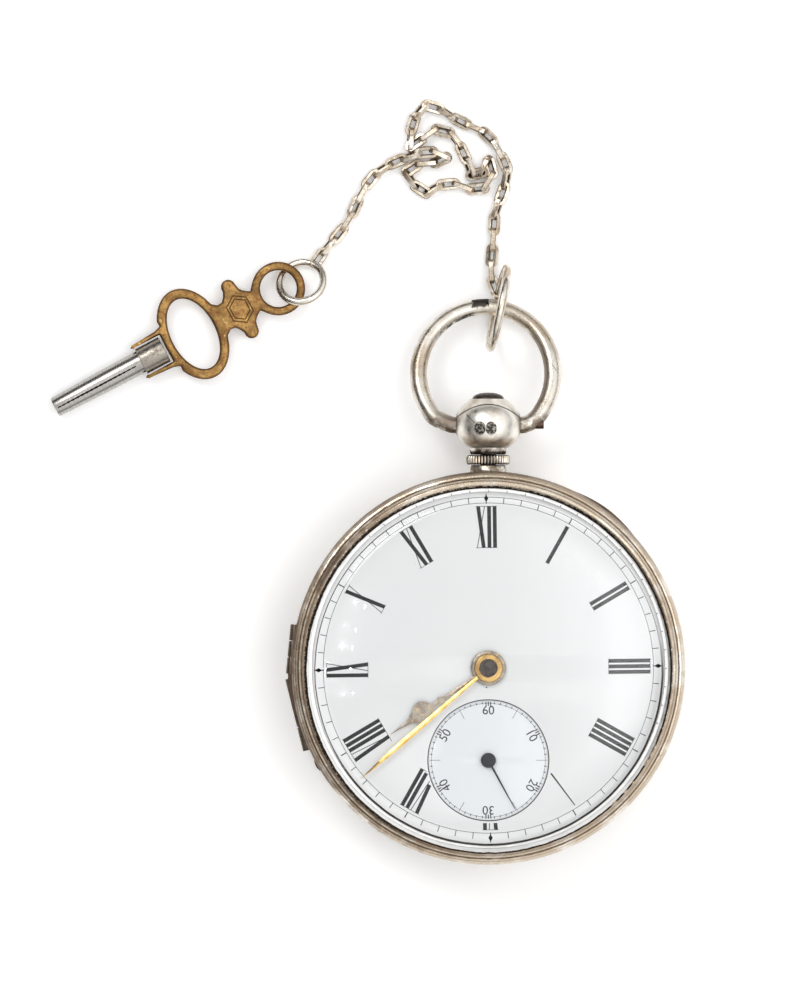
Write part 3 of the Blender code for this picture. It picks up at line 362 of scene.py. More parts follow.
def bow_layers(look):
    """Black tarnish at the bow's top left and along its inner side, and a crack on its right."""
    ragged = look.noise(0.8, 5, 0.75, 12.0).step(0.42, 0.56)
    uneven = (look.noise(0.7, 4, 0.7, 12.0) - 0.5) * 1.4
    away = look.length(look.x, look.y - 38.05)
    low_side = look.noise(3.0, 4, 0.6, 1.0).step(0.5, 0.6) & 0.2
    feet = look.y.step(33.4, 32.0) & look.noise(1.2, 4, 0.6).step(0.35, 0.55) & 0.8
    inner_right = away.step(8.0, 7.75) & look.x.step(5.0, 6.0) & 0.7
    inner_left = away.step(8.35, 8.05) & look.y.step(42.0, 43.4) & look.x.step(-1.2, -2.2) & ragged
    crack = (look.x * 1.35 + look.y).band(50.4, 0.02, 0.07) & look.x.band(8.1, 0.7, 0.3)
    top_left = ((away + uneven).step(8.5, 8.9) & look.y.step(43.0, 44.5)
                & (look.x + uneven).band(-0.95, 1.0, 0.25) & (ragged | 0.93))
    return [(low_side, TARNISH_AND_SHADE), (feet, TARNISH_AND_SHADE), (inner_right, TARNISH_AND_SHADE), (inner_left, BLACKENED),
            (crack, BLACKENED), (top_left, BLACKENED)]


def plain_metal(name, bright, dark, rough, size, amount, grain=0.02, rust=None):
    """A metal clouded between two colours with fine grain, and rust spots where there are any."""
    look = Look(name)
    clouds = look.noise(size, 5, 0.6, 5.0).step(0.75 - 0.4 * amount, 0.95 - 0.4 * amount)
    colour = look.mix(clouds, bright, dark)
    roughness = look.noise(size * 0.4, 4, 0.6).step(0.3, 0.7, rough - 0.06, rough + 0.1)
    if rust:
        spots = look.noise(0.35, 4, 0.6, 8.0).step(0.60, 0.68)
        colour = look.mix(spots & 0.8, colour, rust)
        roughness += spots & 0.3
    normal = look.bump(look.noise(0.12, 3, 0.6, 2.0), grain, 0.5)
    return look.done(look.principled(colour, roughness, 1.0, normal))


def enamel(name, tone, cloud, edged=False):
    """White vitreous enamel: faintly blue, softly uneven, with a few black firing specks. edged
    adds the dial's whiter rim, painted light that lifts the edge where the bezel shades it, and the
    dirt outside it."""
    look = Look(name)
    specks = look.noise(0.42, 1.0, 0.5, 21.0).step(0.815, 0.835)
    layers = [(look.noise(14, 3, 0.5, 1.0), cloud), (specks & 0.45, (0.2, 0.19, 0.18))]
    if edged:
        edge = look.radius()
        rim_dirt = edge.step(22.6, 22.9) & look.noise(1.5, 4, 0.6).step(0.4, 0.6) & 0.5
        # The whiter rim is painted light against the bezel's shadow on the dial's edge.
        layers += [(edge.step(20.6, 22.3), (0.97, 0.975, 0.98)), (rim_dirt, (0.25, 0.19, 0.13))]
    normal = look.bump(look.noise(5.0, 2, 0.5, 4.0), 0.01, 0.4)
    return look.done(look.principled(look.paint(tone, *layers), 0.14, 0.0, normal,
                                     Coat_Weight=0.3, Coat_Roughness=0.05))


def ink(name):
    """The fired black paint of the dial, nearly matt."""
    look = Look(name)
    wear = look.noise(0.5, 4, 0.7, 6.0).step(0.62, 0.75)
    shade = look.mix(wear & 0.05, (0.004, 0.0045, 0.006), (0.10, 0.10, 0.11))
    return look.done(look.principled(shade, 0.6, Specular_IOR_Level=0.15))


def hand_gold(name, shift, light=(0.95, 0.66, 0.21), deep=(0.70, 0.40, 0.10)):
    """Polished gold with orange-brown toning along its length."""
    look = Look(name)
    tone = look.noise(1.8, 4, 0.6, shift).step(0.42, 0.66)
    spots = look.noise(0.3, 3, 0.5, shift + 3).step(0.68, 0.75)
    colour = look.paint(light, (tone, deep), (spots & 0.5, (0.30, 0.16, 0.05)))
    roughness = look.noise(0.8, 3, 0.5, shift).step(0.3, 0.7, 0.16, 0.34)
    normal = look.bump(look.noise(0.25, 2, 0.5), 0.01, 0.4)
    return look.done(look.principled(colour, roughness, 1.0, normal))


def old_gilt(name):
    """Grey-brown metal, darker in patches, with a few small warm spots of gold."""
    look = Look(name)
    tone = look.noise(1.2, 5, 0.65, 31.0).step(0.38, 0.62)
    warm = look.noise(0.5, 3, 0.6, 12.0).step(0.58, 0.66)
    colour = look.paint((0.42, 0.37, 0.30), (tone, (0.24, 0.20, 0.16)),
                        (warm & 0.6, (0.75, 0.48, 0.20)))
    normal = look.bump(look.noise(0.3, 3, 0.6), 0.02, 0.6)
    return look.done(look.principled(colour, 0.38, 1.0, normal))


def key_brass(name):
    """Old brass: golden where it was handled, reddish-brown specks, and nearly black edges, which
    are painted shade on its rounded sides.
    """
    look = Look(name)
    clouds = look.noise(2.2, 5, 0.65, 2.0)
    red = look.noise(0.6, 5, 0.7, 7.0).step(0.52, 0.60)
    pits = look.noise(0.28, 4, 0.65, 15.0).step(0.56, 0.66)
    glint = look.noise(0.7, 3, 0.6, 19.0).step(0.62, 0.72)
    # side: painted shade, nearly black, over the handle's rounded edges and side walls.
    side = (abs(look.z - KEY_TIP[2]) + (look.noise(0.9, 3, 0.6, 23.0) & 0.12)).step(0.62, 0.50)
    colour = look.paint((0.42, 0.25, 0.085), (clouds.step(0.36, 0.66), (0.21, 0.12, 0.045)),
                        (red & 0.7, (0.22, 0.075, 0.03)), (pits & 0.8, (0.07, 0.04, 0.02)),
                        (glint & 0.6, (0.78, 0.56, 0.24)), (side & 0.85, (0.12, 0.06, 0.025)))
    normal = look.bump(look.noise(0.5, 5, 0.65, 9.0), 0.08, 0.8)
    return look.done(look.principled(colour, clouds.step(0.3, 0.7, 0.3, 0.5), 1.0, normal))


def pipe_steel(name):
    """Bright drawn steel with faint turning rings and grey bloom towards its upper end."""
    look = Look(name)
    along = (look.x - KEY_TIP[0]) * math.cos(KEY_TURN) + (look.y - KEY_TIP[1]) * math.sin(KEY_TURN)
    rings = look.noise(0.22, 2, 0.5, place=look.vector(along, 0.0, 0.0))
    bloom = along.step(10.2, 12.6) & look.noise(1.2, 4, 0.6).step(0.3, 0.6) & 0.6
    rust = look.noise(0.25, 3, 0.6, 4.0).step(0.66, 0.72)
    colour = look.paint((0.47, 0.455, 0.43), (rings.step(0.35, 0.7), (0.36, 0.345, 0.32)),
                        (bloom, (0.30, 0.27, 0.24)), (rust & 0.6, (0.16, 0.09, 0.05)))
    normal = look.bump(rings, 0.005, 0.5)
    return look.done(look.principled(colour, rings.step(0.3, 0.7, 0.2, 0.34), 1.0, normal))


def crystal_glass(name):
    """Clear glass that reflects at its surface, with dirt packed round its bevelled rim, a painted
    dark line for the bevel's edge, and painted images of the dial's minute ticks seen through the
    rim.
    """
    look = Look(name)
    radius = look.radius()
    near = radius + (look.noise(3.0, 3, 0.6, 2.0) - 0.5) * 0.12 + look.y * 0.0145
    # The thin ring and the sharper one on the left are a painted dark line for the bevel's edge, as
    # glass shows it.
    thin = near.band(CRYSTAL_BEVEL, 0.015, 0.06) & 0.5
    thick = near.band(CRYSTAL_BEVEL + 0.06, 0.09, 0.07) & look.bearing(162, 60, 26)
    painted_bevel_edge = near.band(CRYSTAL_BEVEL, 0.035, 0.04) & look.bearing(270, 60, 25)
    # The ticks at the rim are a painted image of the dial's minute ticks seen through the glass.
    minute = look.math("FRACT", look.math("ARCTAN2", look.x, look.y) * (60 / TAU))
    tick = (abs(minute - 0.5).band(0.5, 0.010, 0.012) & radius.band(22.86, 0.09, 0.03)
            & look.bearing(35, 72, 12) & 0.7)
    # All these share the dark soil colour: dirt, and painted dark marks for what the glass shows.
    dirt = (thin | thick | painted_bevel_edge | tick) & 0.92
    # Schlick's rule with the facing angle, the same on both faces, so that no light is trapped.
    slant = look.node("ShaderNodeLayerWeight")
    look.put(0.5, slant.inputs["Blend"])
    reflection = look.math("POWER", slant.outputs["Facing"], 5.0) * 0.97 + 0.03
    gloss = look.node("ShaderNodeBsdfGlossy")
    look.put(0.015, gloss.inputs["Roughness"])
    glass = look.layered(reflection * radius.step(20.8, 22.2, 1.0, 0.15),
                         look.node("ShaderNodeBsdfTransparent").outputs[0], gloss.outputs[0])
    soil_and_painted_marks = look.principled((0.018, 0.012, 0.008), 0.6)
    return look.done(look.layered(dirt, glass, soil_and_painted_marks))


# ---- shapes ----

def place_at(x, y, z):
    return Matrix.Translation(Vector((x, y, z)) * MM)


def made(name, verts, faces, material, matrix=None, sharp=35):
    """A mesh object from points in millimetres, smooth except across edges sharper than sharp."""
    mesh = bpy.data.meshes.new(name)
    mesh.from_pydata([Vector(v) * MM for v in verts], [], faces)
    shape = bmesh.new()
    shape.from_mesh(mesh)
    bmesh.ops.remove_doubles(shape, verts=shape.verts, dist=1e-7)
    bmesh.ops.recalc_face_normals(shape, faces=shape.faces)
    shape.to_mesh(mesh)
    shape.free()
    if matrix:
        mesh.transform(matrix)
    return dressed(bpy.data.objects.new(name, mesh), material, sharp)


def dressed(obj, material, sharp):
    if not obj.users_collection:
        bpy.context.scene.collection.objects.link(obj)
    obj.data.materials.clear()
    obj.data.materials.append(material)
    obj.data.shade_smooth()
    obj.data.set_sharp_from_angle(angle=math.radians(sharp))
    return obj


def rounded(points, radius, steps=3, closed=True):
    """The outline with each corner cut back by up to radius and replaced with a small curve."""
    result = []
    count = len(points)
    for i, corner in enumerate(points):
        if not closed and i in (0, count - 1):
            result.append(corner)
            continue
        corner = Vector(corner)
        before, after = Vector(points[i - 1]), Vector(points[(i + 1) % count])
        back, ahead = before - corner, after - corner
        reach = min(radius, 0.4 * back.length, 0.4 * ahead.length)
        start, end = corner + back.normalized() * reach, corner + ahead.normalized() * reach
        for step in range(steps + 1):
            t = step / steps
            result.append(tuple((1 - t) ** 2 * start + 2 * t * (1 - t) * corner + t * t * end))
    return result


def lathe(name, profile, material, matrix=None, steps=192):
    """A body turned about Z from (radius, z). It's solid if the profile starts and ends on the
    axis, and otherwise a closed ring."""
    count = len(profile)
    open_ended = profile[0][0] == 0
    verts = [(r * x, r * y, z) for x, y in circle(1, steps) for r, z in profile]
    faces = []
    for s in range(steps):
        a, b = s * count, (s + 1) % steps * count
        for i in range(count - 1 if open_ended else count):
            j = (i + 1) % count
            quad = [a + i, b + i, b + j, a + j]
            if profile[i][0] == 0:
                quad.remove(b + i)
            elif profile[j][0] == 0:
                quad.remove(b + j)
            faces.append(quad)
    return made(name, verts, faces, material, matrix)


def plug(name, radius, top, foot, material, matrix, steps):
    """A plain cylinder along Z, to cut a hole with."""
    profile = [(0, top), (radius, top), (radius, foot), (0, foot)]
    return lathe(name, profile, material, matrix, steps)


def tube(name, points, sizes, material, closed=False, sides=16, matrix=None):
    """A round bar along points, with a radius at each point or one radius for all."""
    points = [Vector(p) for p in points]
    count = len(points)
    if not isinstance(sizes, (list, tuple)):
        sizes = [sizes] * count
    verts, faces = sweep(points, sizes, closed, circle(1.0, sides))
    return made(name, verts, faces, material, matrix, sharp=50)


def sweep(points, sizes, closed, section, start_normal=None):
    """Points and faces of a bar whose section is (normal, sideways) pairs, scaled by each size."""
    count = len(points)
    sides = len(section)
    tangents = []
    for i in range(count):
        before = points[i - 1] if closed or i else points[0]
        after = points[(i + 1) % count] if closed or i < count - 1 else points[-1]
        tangents.append((after - before).normalized())
    normal = start_normal or tangents[0].orthogonal().normalized()
    frames = []
    for tangent in tangents:
        normal = (normal - tangent * normal.dot(tangent)).normalized()
        frames.append((normal.copy(), tangent.cross(normal)))
    verts, faces = [], []
    for point, size, (n, b) in zip(points, sizes, frames):
        verts += [point + n * (size * u) + b * (size * v) for u, v in section]
    for i in range(count if closed else count - 1):
        a, b = i * sides, (i + 1) % count * sides
        for side in range(sides):
            other = (side + 1) % sides
            faces.append((a + side, a + other, b + other, b + side))
    if not closed:
        faces.append(tuple(range(sides))[::-1])
        faces.append(tuple(range((count - 1) * sides, count * sides)))
    return verts, faces


def ellipse(centre, wide, tall, turns):
    return [(centre[0] + wide * math.cos(turn), centre[1] + tall * math.sin(turn))
            for turn in turns]


def circle(radius, count, centre=(0, 0)):
    return ellipse(centre, radius, radius, [TAU * i / count for i in range(count)])


def inset(outline, distance):
    """The outline moved to its left by distance, corner by corner."""
    moved = []
    for i, point in enumerate(outline):
        point = Vector(point)
        into = (point - Vector(outline[i - 1])).normalized()
        onward = (Vector(outline[(i + 1) % len(outline)]) - point).normalized()
        normal = Vector((-into.y - onward.y, into.x + onward.x)) / 2
        moved.append(point + normal * (distance / max(0.35, normal.length_squared)))
    return moved


def turned_left(outline, wanted):
    """The outline running counterclockwise if wanted is true, and clockwise if not."""
    area = sum(a[0] * b[1] - b[0] * a[1] for a, b in zip(outline, outline[1:] + outline[:1]))
    return outline if (area > 0) == wanted else outline[::-1]


def flat_piece(name, outlines, z_range, material, edge=0.0, matrix=None, edge_steps=3, sharp=35):
    """A flat piece cut along closed outlines, the first its rim and the others its holes, with its
    edges rounded over by edge."""
    low, high = z_range
    layers = []
    for step in range(edge_steps, -1, -1):
        turn = math.pi / 2 * step / edge_steps
        layers.append((edge * (1 - math.cos(turn)), low + edge - edge * math.sin(turn)))
    layers += [(cut, low + high - z) for cut, z in reversed(layers)]
    outlines = [turned_left(outline, number == 0) for number, outline in enumerate(outlines)]
    verts, faces, caps = [], [], {0: [], len(layers) - 1: []}
    for outline in outlines:
        start, count = len(verts), len(outline)
        for level, (cut, z) in enumerate(layers):
            ring = [Vector((p[0], p[1], z)) for p in inset(outline, cut)]
            if level in caps:
                caps[level].append((ring, start + level * count))
            verts += ring
        for level in range(len(layers) - 1):
            a, b = start + level * count, start + (level + 1) * count
            for i in range(count):
                j = (i + 1) % count
                faces.append((a + i, a + j, b + j, b + i))
    for rings in caps.values():
        index = [first + i for ring, first in rings for i in range(len(ring))]
        cap = tessellate_polygon([ring for ring, _ in rings])
        faces += [tuple(index[i] for i in face) for face in cap]
    return made(name, verts, faces, material, matrix, sharp)


def merged(name, *objs):
    """One object of several: their meshes lie together and keep their own materials."""
    mesh = objs[0].data
    shape = bmesh.new()
    materials = []
    for obj in objs:
        start = len(shape.faces)
        shape.from_mesh(obj.data)
        shape.faces.ensure_lookup_table()
        for face in shape.faces[start:]:
            face.material_index += len(materials)
        materials += list(obj.data.materials)
    mesh.materials.clear()
    for material in materials:
        mesh.materials.append(material)
    shape.to_mesh(mesh)
    shape.free()
    for obj in objs[1:]:
        bpy.data.objects.remove(obj)
    objs[0].name = name
    mesh.name = name
    return objs[0]


def carved(obj, tool):
    """Cuts the tool out of the object and throws it away."""
    boolean = obj.modifiers.new("carve", "BOOLEAN")
    boolean.operation = "DIFFERENCE"
    boolean.solver = "EXACT"
    boolean.object = tool
    bpy.context.view_layer.update()
    mesh = bpy.data.meshes.new_from_object(obj.evaluated_get(bpy.context.evaluated_depsgraph_get()))
    obj.modifiers.clear()
    obj.data = mesh
    mesh.name = obj.name
    bpy.data.objects.remove(tool)
    mesh.shade_smooth()
    mesh.set_sharp_from_angle(angle=math.radians(30))
    return obj


def rides(obj, body, slot, *nodes):
    """Moves the piece with a body and hides the CAD nodes that it stands for. Its slot argument
    is not used."""
    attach(obj, body)
    if nodes:
        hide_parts(*nodes)
    return obj


def towards(degrees, radius):
    """The x and y of a point on a bearing, in degrees clockwise from XII."""
    turn = math.radians(degrees)
    return radius * math.sin(turn), radius * math.cos(turn)


# ---- case, bezel, back and crystal ----

BEZEL_HINGE = {"bearing": 275.5, "radius": 25.35, "z": 10.85, "length": 6.4}
BACK_HINGE = {"bearing": 256.0, "radius": 25.3, "z": 3.62, "length": 9.6}
KNUCKLE = 0.6
GAP = 0.1


def bar_on_hinge(name, hinge, radius, start, end, material):
    """A round bar along a hinge's axis between two distances from its middle."""
    x, y = towards(hinge["bearing"], hinge["radius"])
    outward = Vector((x, y, 0)).normalized()
    axis = Vector((0, 0, 1)).cross(outward)
    turn = Matrix((outward, axis.cross(outward), axis)).transposed().to_4x4()
    profile = rounded([(0, end), (radius, end), (radius, start), (0, start)], 0.05, 2, False)
    return lathe(name, profile, material, place_at(x, y, hinge["z"]) @ turn, steps=40)


def block_on_hinge(name, hinge, start, end, z_range, material):
    """A block that joins a knuckle to the wall beside it."""
    x, y = towards(hinge["bearing"], hinge["radius"] - 0.55)
    outward = Vector((x, y, 0)).normalized()
    axis = Vector((0, 0, 1)).cross(outward)
    corners = []
    for z in z_range:
        for a, b in ((-0.5, start), (0.5, start), (0.5, end), (-0.5, end)):
            corners.append(Vector((x, y, z)) + outward * a + axis * b)
    faces = [(0, 1, 2, 3), (4, 5, 6, 7), (0, 1, 5, 4), (1, 2, 6, 5), (2, 3, 7, 6), (3, 0, 4, 7)]
    return made(name, corners, faces, material)


def lift_lip(bearing, half_angle, root, reach, z_range, material, power=1.5):
    """A crescent on the edge of a cover or of the band, which stands out furthest at its bearing: a
    lip for the thumbnail, or the shelf that backs both hinges."""
    outer, inner = [], []
    for step in range(25):
        share = step / 12 - 1
        stand = root + reach * max(0.0, math.cos(share * math.pi / 2)) ** power
        outer.append(towards(bearing + share * half_angle, stand))
        inner.append(towards(bearing + share * half_angle, root - 0.25))
    return flat_piece("lip", [outer + inner[::-1]], z_range, material, edge=0.08)


def hinged(cover, middle, hinge, block_z, cover_look, middle_look):
    """Cuts room for the knuckles and adds them: the middle one on the cover, two on the case."""
    half, third = hinge["length"] / 2, hinge["length"] / 6
    room = KNUCKLE + GAP
    for start, end in ((-half - GAP, -third), (third, half + GAP)):
        carved(cover, bar_on_hinge("room", hinge, room, start, end, cover_look))
    carved(middle, bar_on_hinge("room", hinge, room, -third, third, middle_look))
    on_cover = [bar_on_hinge("k", hinge, KNUCKLE, -third + GAP / 2, third - GAP / 2, knuckle_look)]
    on_middle = []
    for start, end in ((-half, -third - GAP / 2), (third + GAP / 2, half)):
        on_middle.append(bar_on_hinge("k", hinge, KNUCKLE, start, end, knuckle_look))
        on_middle.append(block_on_hinge("b", hinge, start + GAP, end - GAP, block_z, knuckle_look))
    return merged(cover.name, cover, *on_cover), merged(middle.name, middle, *on_middle)


bezel_look = silver("silver_bezel", 0.75, 0.30, bezel_layers, rough=0.22)
middle_look = silver("silver_middle", 0.70, 0.35, middle_layers, rough=0.26)
back_look = silver("silver_back", 0.40, 0.05, back_layers, rough=0.28, patch=6.0, dents=1.5)
glass_look = crystal_glass("crystal_glass")
gilt_look = plain_metal("gilt", (0.86, 0.63, 0.27), (0.66, 0.43, 0.16), 0.33, 4.0, 0.5, 0.03)
steel_look = plain_metal("steel", (0.58, 0.57, 0.55), (0.36, 0.34, 0.32), 0.26, 2.0, 0.4, 0.01,
                         (0.20, 0.10, 0.05))
dark_steel_look = plain_metal("dark_steel", (0.085, 0.07, 0.06), (0.02, 0.016, 0.014), 0.34, 0.9,
                              0.7, 0.03, (0.16, 0.08, 0.04))
blued_look = plain_metal("blued_steel", (0.016, 0.018, 0.028), (0.008, 0.008, 0.011), 0.4, 1.0, 0.5,
                         0.005)

# The pendant's own frame: its z runs along the watch's y, out through the bow.
PENDANT_Z = 7.2
PENDANT = place_at(0, 0, PENDANT_Z) @ Matrix.Rotation(-math.pi / 2, 4, "X")

middle = lathe("case_band", rounded([
    (23.15, 11.7), (23.7, 11.7), (23.7, 10.8), (24.6, 10.8), (25.0, 10.2), (25.0, 4.2),
    (24.6, 3.62), (23.7, 3.62), (23.7, 3.0), (22.95, 3.0), (22.95, 3.62), (21.7, 3.62),
    (21.7, 8.55), (22.5, 8.6), (22.5, 10.9), (23.15, 10.9)], 0.25), middle_look, steps=224)
carved(middle, plug("bore", 2.37, 27.0, 20.5, middle_look, PENDANT, 64))
bezel = lathe("bezel_ring", rounded([
    (23.18, 13.5), (23.45, 13.66), (23.75, 13.85), (24.1, 13.8), (24.42, 13.45), (24.52, 13.02),
    (24.62, 12.98), (24.95, 12.9), (25.3, 12.25), (25.4, 11.6), (25.2, 10.95), (23.85, 10.95),
    (23.85, 11.95), (22.75, 11.95), (22.75, 12.92), (23.3, 12.92), (23.3, 13.36), (23.15, 13.36)],
    0.10), bezel_look, steps=224)
back = lathe("back_cover", rounded([
    (0, 0.45), (8.0, 0.48), (16.0, 0.82), (21.0, 1.45), (23.85, 2.6), (23.85, 3.5), (25.2, 3.5),
    (25.35, 3.2), (24.8, 2.4), (23.4, 1.65), (21.0, 1.0), (16.0, 0.36), (7.0, 0), (0, 0)],
    0.35, 4, False), back_look, steps=224)
# Dark metal for the hinges' knuckles and blocks: tarnish, and painted shade on the back's hinge,
# which lies low beside the band.
knuckle_look = plain_metal("knuckle_tarnish_and_shade", (0.15, 0.12, 0.09), (0.05, 0.035, 0.025), 0.34, 0.9,
                           0.6, 0.05)
# Near-black metal for the lips and the shelf: tarnish on the lips, and painted shade on the shelf
# behind the hinges, which lies low under the bezel.
lip_look = plain_metal("lip_tarnish_and_shade", (0.10, 0.07, 0.05), (0.035, 0.025, 0.02), 0.35, 1.5, 0.5)
bezel, middle = hinged(bezel, middle, BEZEL_HINGE, (9.5, 10.6), bezel_look, middle_look)
back, middle = hinged(back, middle, BACK_HINGE, (3.95, 5.0), back_look, middle_look)
bezel = merged("bezel_ring", bezel, lift_lip(37, 15, 25.3, 0.36, (11.0, 11.55), lip_look))
# The shelf's near-black colour is painted shade.
middle = merged("case_band", middle, lift_lip(265, 23, 25.0, 0.92, (5.1, 9.4), lip_look, 0.7))
back = merged("back_cover", back, lift_lip(240, 4.0, 25.2, 0.55, (2.7, 3.45), lip_look),
              lift_lip(213.6, 6.0, 25.2, 0.42, (2.7, 3.45), lip_look))
rides(middle, "case", "case_silver", "case_middle")
rides(bezel, "bezel", "case_silver", "bezel")
rides(back, "back", "case_silver", "case_back")

WINDING_SQUARE = (-3.4476, 9.4721)
dome = lathe("dust_dome", rounded([
    (0, 1.4), (13.0, 1.5), (18.0, 1.9), (22.85, 3.45), (22.85, 3.05), (18.0, 1.55), (13.0, 1.15),
    (0, 1.05)], 0.2, 3, False), gilt_look)
carved(dome, plug("hole", 2.0, 2.5, 0.5, gilt_look, place_at(*WINDING_SQUARE, 0), 64))
rides(dome, "case", "gilt_brass", "inner_dome")

crystal = lathe("crystal_dome", [
    (0, 15.3), (3.5, 15.28), (7.0, 15.21), (10.0, 15.12), (13.0, 15.0), (16.0, 14.77),
    (19.0, 14.45), (20.6, 14.21), (21.9, 13.95), (22.25, 13.78), (22.5, 13.5), (22.65, 13.28),
    (23.2, 13.28), (23.2, 13.0), (22.3, 13.0), (21.9, 13.22), (21.4, 13.4), (20.0, 13.67),
    (18.5, 13.9), (16.0, 14.15), (13.0, 14.35), (10.0, 14.47), (7.0, 14.57), (3.5, 14.63),
    (0, 14.65)], glass_look)
rides(crystal, "bezel", "crystal_glass", "crystal")


# ---- dial and its printing ----

SECONDS_CENTRE = (0.0, -11.9)
SECONDS_RADIUS = 7.8
NUMERAL_INNER = 15.5
NUMERAL_OUTER = 20.9
THICK = 0.49
HAIR = 0.095
PRINT_RISE = 0.012
STROKE_CELLS = 24
RING_CELLS = 240

enamel_look = enamel("enamel_dial", (0.755, 0.775, 0.785), (0.79, 0.80, 0.80), edged=True)
# The seconds dial is painted a little lighter than the main dial, painted light that offsets the
# shade on its sunk disc.
enamel_small_look = enamel("enamel_seconds", (0.765, 0.80, 0.83), (0.785, 0.815, 0.84))
ink_look = ink("dial_ink")

dial = flat_piece("dial_disc", [circle(22.9, 192), circle(1.65, 64),
                                circle(SECONDS_RADIUS, 128, SECONDS_CENTRE)[::-1]],
                  (11.0, DIAL_TOP), enamel_look, edge=0.06)
rides(dial, "case", "dial_enamel", "dial")
seconds_disc = flat_piece("seconds_disc", [circle(SECONDS_RADIUS - 0.06, 128), circle(0.45, 32)],
                          (10.65, 11.2), enamel_small_look, edge=0.03,
                          matrix=place_at(*SECONDS_CENTRE, 0))
rides(seconds_disc, "case", "dial_enamel", "seconds_dial")


class Printing:
    """Strokes of fired paint, a hair above the enamel, gathered into one mesh."""

    def __init__(self, top):
        self.top = top
        self.verts = []
        self.faces = []
        self.keep = None

    def cell(self, corners):
        if self.keep and not all(self.keep(x, y) for x, y in corners):
            return
        start = len(self.verts)
        self.verts += [(x, y, self.top + PRINT_RISE) for x, y in corners]
        self.faces.append([start + i for i in range(len(corners))])

    def stroke(self, start, end, start_width, end_width, bend):
        """A straight stroke between two (across, radius) points, put on the dial by bend."""
        for i in range(STROKE_CELLS):
            corners = []
            for t, side in ((i, -0.5), (i, 0.5), (i + 1, 0.5), (i + 1, -0.5)):
                t /= STROKE_CELLS
                width = start_width + (end_width - start_width) * t
                across = start[0] + (end[0] - start[0]) * t + side * width
                corners.append(bend(across, start[1] + (end[1] - start[1]) * t))
            self.cell(corners)

    def ring(self, radius, width, centre=(0, 0)):
        inner = circle(radius - width / 2, RING_CELLS, centre)
        outer = circle(radius + width / 2, RING_CELLS, centre)
        for i in range(RING_CELLS):
            self.cell([inner[i - 1], inner[i], outer[i], outer[i - 1]])

    def radial(self, degrees, inner, outer, width, centre=(0, 0)):
        out = Vector(towards(degrees, 1))
        side = Vector((out.y, -out.x)) * width / 2
        middle = Vector(centre)
        self.cell([tuple(middle + out * inner - side), tuple(middle + out * inner + side),
                   tuple(middle + out * outer + side), tuple(middle + out * outer - side)])

    def diamond(self, degrees, inner, outer, width):
        out = Vector(towards(degrees, 1))
        side = Vector((out.y, -out.x)) * width / 2
        centre = out * (inner + outer) / 2
        corners = (out * inner, centre + side, out * outer, centre - side)
        self.cell([tuple(corner) for corner in corners])

    def finish(self, name, material):
        return made(name, self.verts, self.faces, material, sharp=20)


def outside_seconds(x, y):
    return math.hypot(x - SECONDS_CENTRE[0], y - SECONDS_CENTRE[1]) > SECONDS_RADIUS + 0.12


NUMERALS = ["XII", "I", "II", "III", "IIII", "V", "VI", "VII", "VIII", "IX", "X", "XI"]
ADVANCE = {"I": 0.72, "V": 1.42, "X": 1.42}
DIAL_TURN = -0.75
# Each letter's strokes: across at the foot, across at the top, and width.
STROKES = {
    "I": [(0, 0, THICK)],
    "V": [(0.08, -0.36, THICK), (0.14, 0.52, HAIR)],
    "X": [(0.34, -0.34, THICK), (-0.50, 0.50, HAIR)],
}
printing = Printing(DIAL_TOP)
printing.keep = outside_seconds


def bend_at(degrees):
    """Across and radius to x and y, on a bearing: the strokes of one numeral are parallel."""
    turn = math.radians(degrees)

    def bend(across, radius):
        return (radius * math.sin(turn) + across * math.cos(turn),
                radius * math.cos(turn) - across * math.sin(turn))

    return bend


def print_numeral(text, bearing):
    """A numeral with its foot to the dial's centre. The V that stands alone is nearly worn away."""
    bend = bend_at(bearing)
    top, foot = NUMERAL_OUTER, NUMERAL_INNER
    if text == "V":
        printing.stroke((0, foot + 0.3), (-0.55, top), 0.22, 0.13, bend)
        return
    width = sum(ADVANCE[letter] for letter in text)
    across = -width / 2
    for letter in text:
        middle = across + ADVANCE[letter] / 2
        for low, high, thick in STROKES[letter]:
            printing.stroke((middle + low, foot), (middle + high, top), thick, thick, bend)
        across += ADVANCE[letter]
    steps = max(4, int(width * 4))
    marks = [-width / 2 + 0.05 + (width - 0.1) * i / steps for i in range(steps + 1)]
    for radius in (foot + 0.03, top - 0.03):
        near, far = radius - HAIR / 3, radius + HAIR / 3
        for start, end in zip(marks, marks[1:]):
            printing.cell([bend(start, near), bend(end, near), bend(end, far), bend(start, far)])


for number, text in enumerate(NUMERALS):
    print_numeral(text, number * 30 + DIAL_TURN)
printing.ring(21.3, 0.06)
for minute in range(60):
    printing.radial(minute * 6 + DIAL_TURN, 21.3, 22.1, 0.09 if minute % 5 else 0.13)
for quarter in range(4):
    printing.diamond(quarter * 90 + DIAL_TURN, 21.4, 22.4, 0.55)
    printing.radial(quarter * 90 + DIAL_TURN, 21.2, 22.5, 0.10)
printing.keep = None
printing.ring(SECONDS_RADIUS + 0.03, 0.07, SECONDS_CENTRE)
printing.cell(circle(0.1, 8, (-0.25, -2.5)))
rides(printing.finish("dial_print", ink_look), "case", "dial_enamel")

SECONDS_TOP = 11.2
seconds_print = Printing(SECONDS_TOP)
seconds_print.ring(7.35, 0.045, SECONDS_CENTRE)
for second in range(60):
    inner, outer, width = (6.2, 7.6, 0.055) if second % 10 == 5 else (7.25, 7.55, 0.10)
    seconds_print.radial(second * 6, inner, outer, width, SECONDS_CENTRE)
for ten in range(6):
    for shift in (-2.4, 0.0, 2.4):
        seconds_print.radial(ten * 60 + shift, 7.0, 7.55, 0.13, SECONDS_CENTRE)
seconds_marks = seconds_print.finish("seconds_ticks", ink_look)


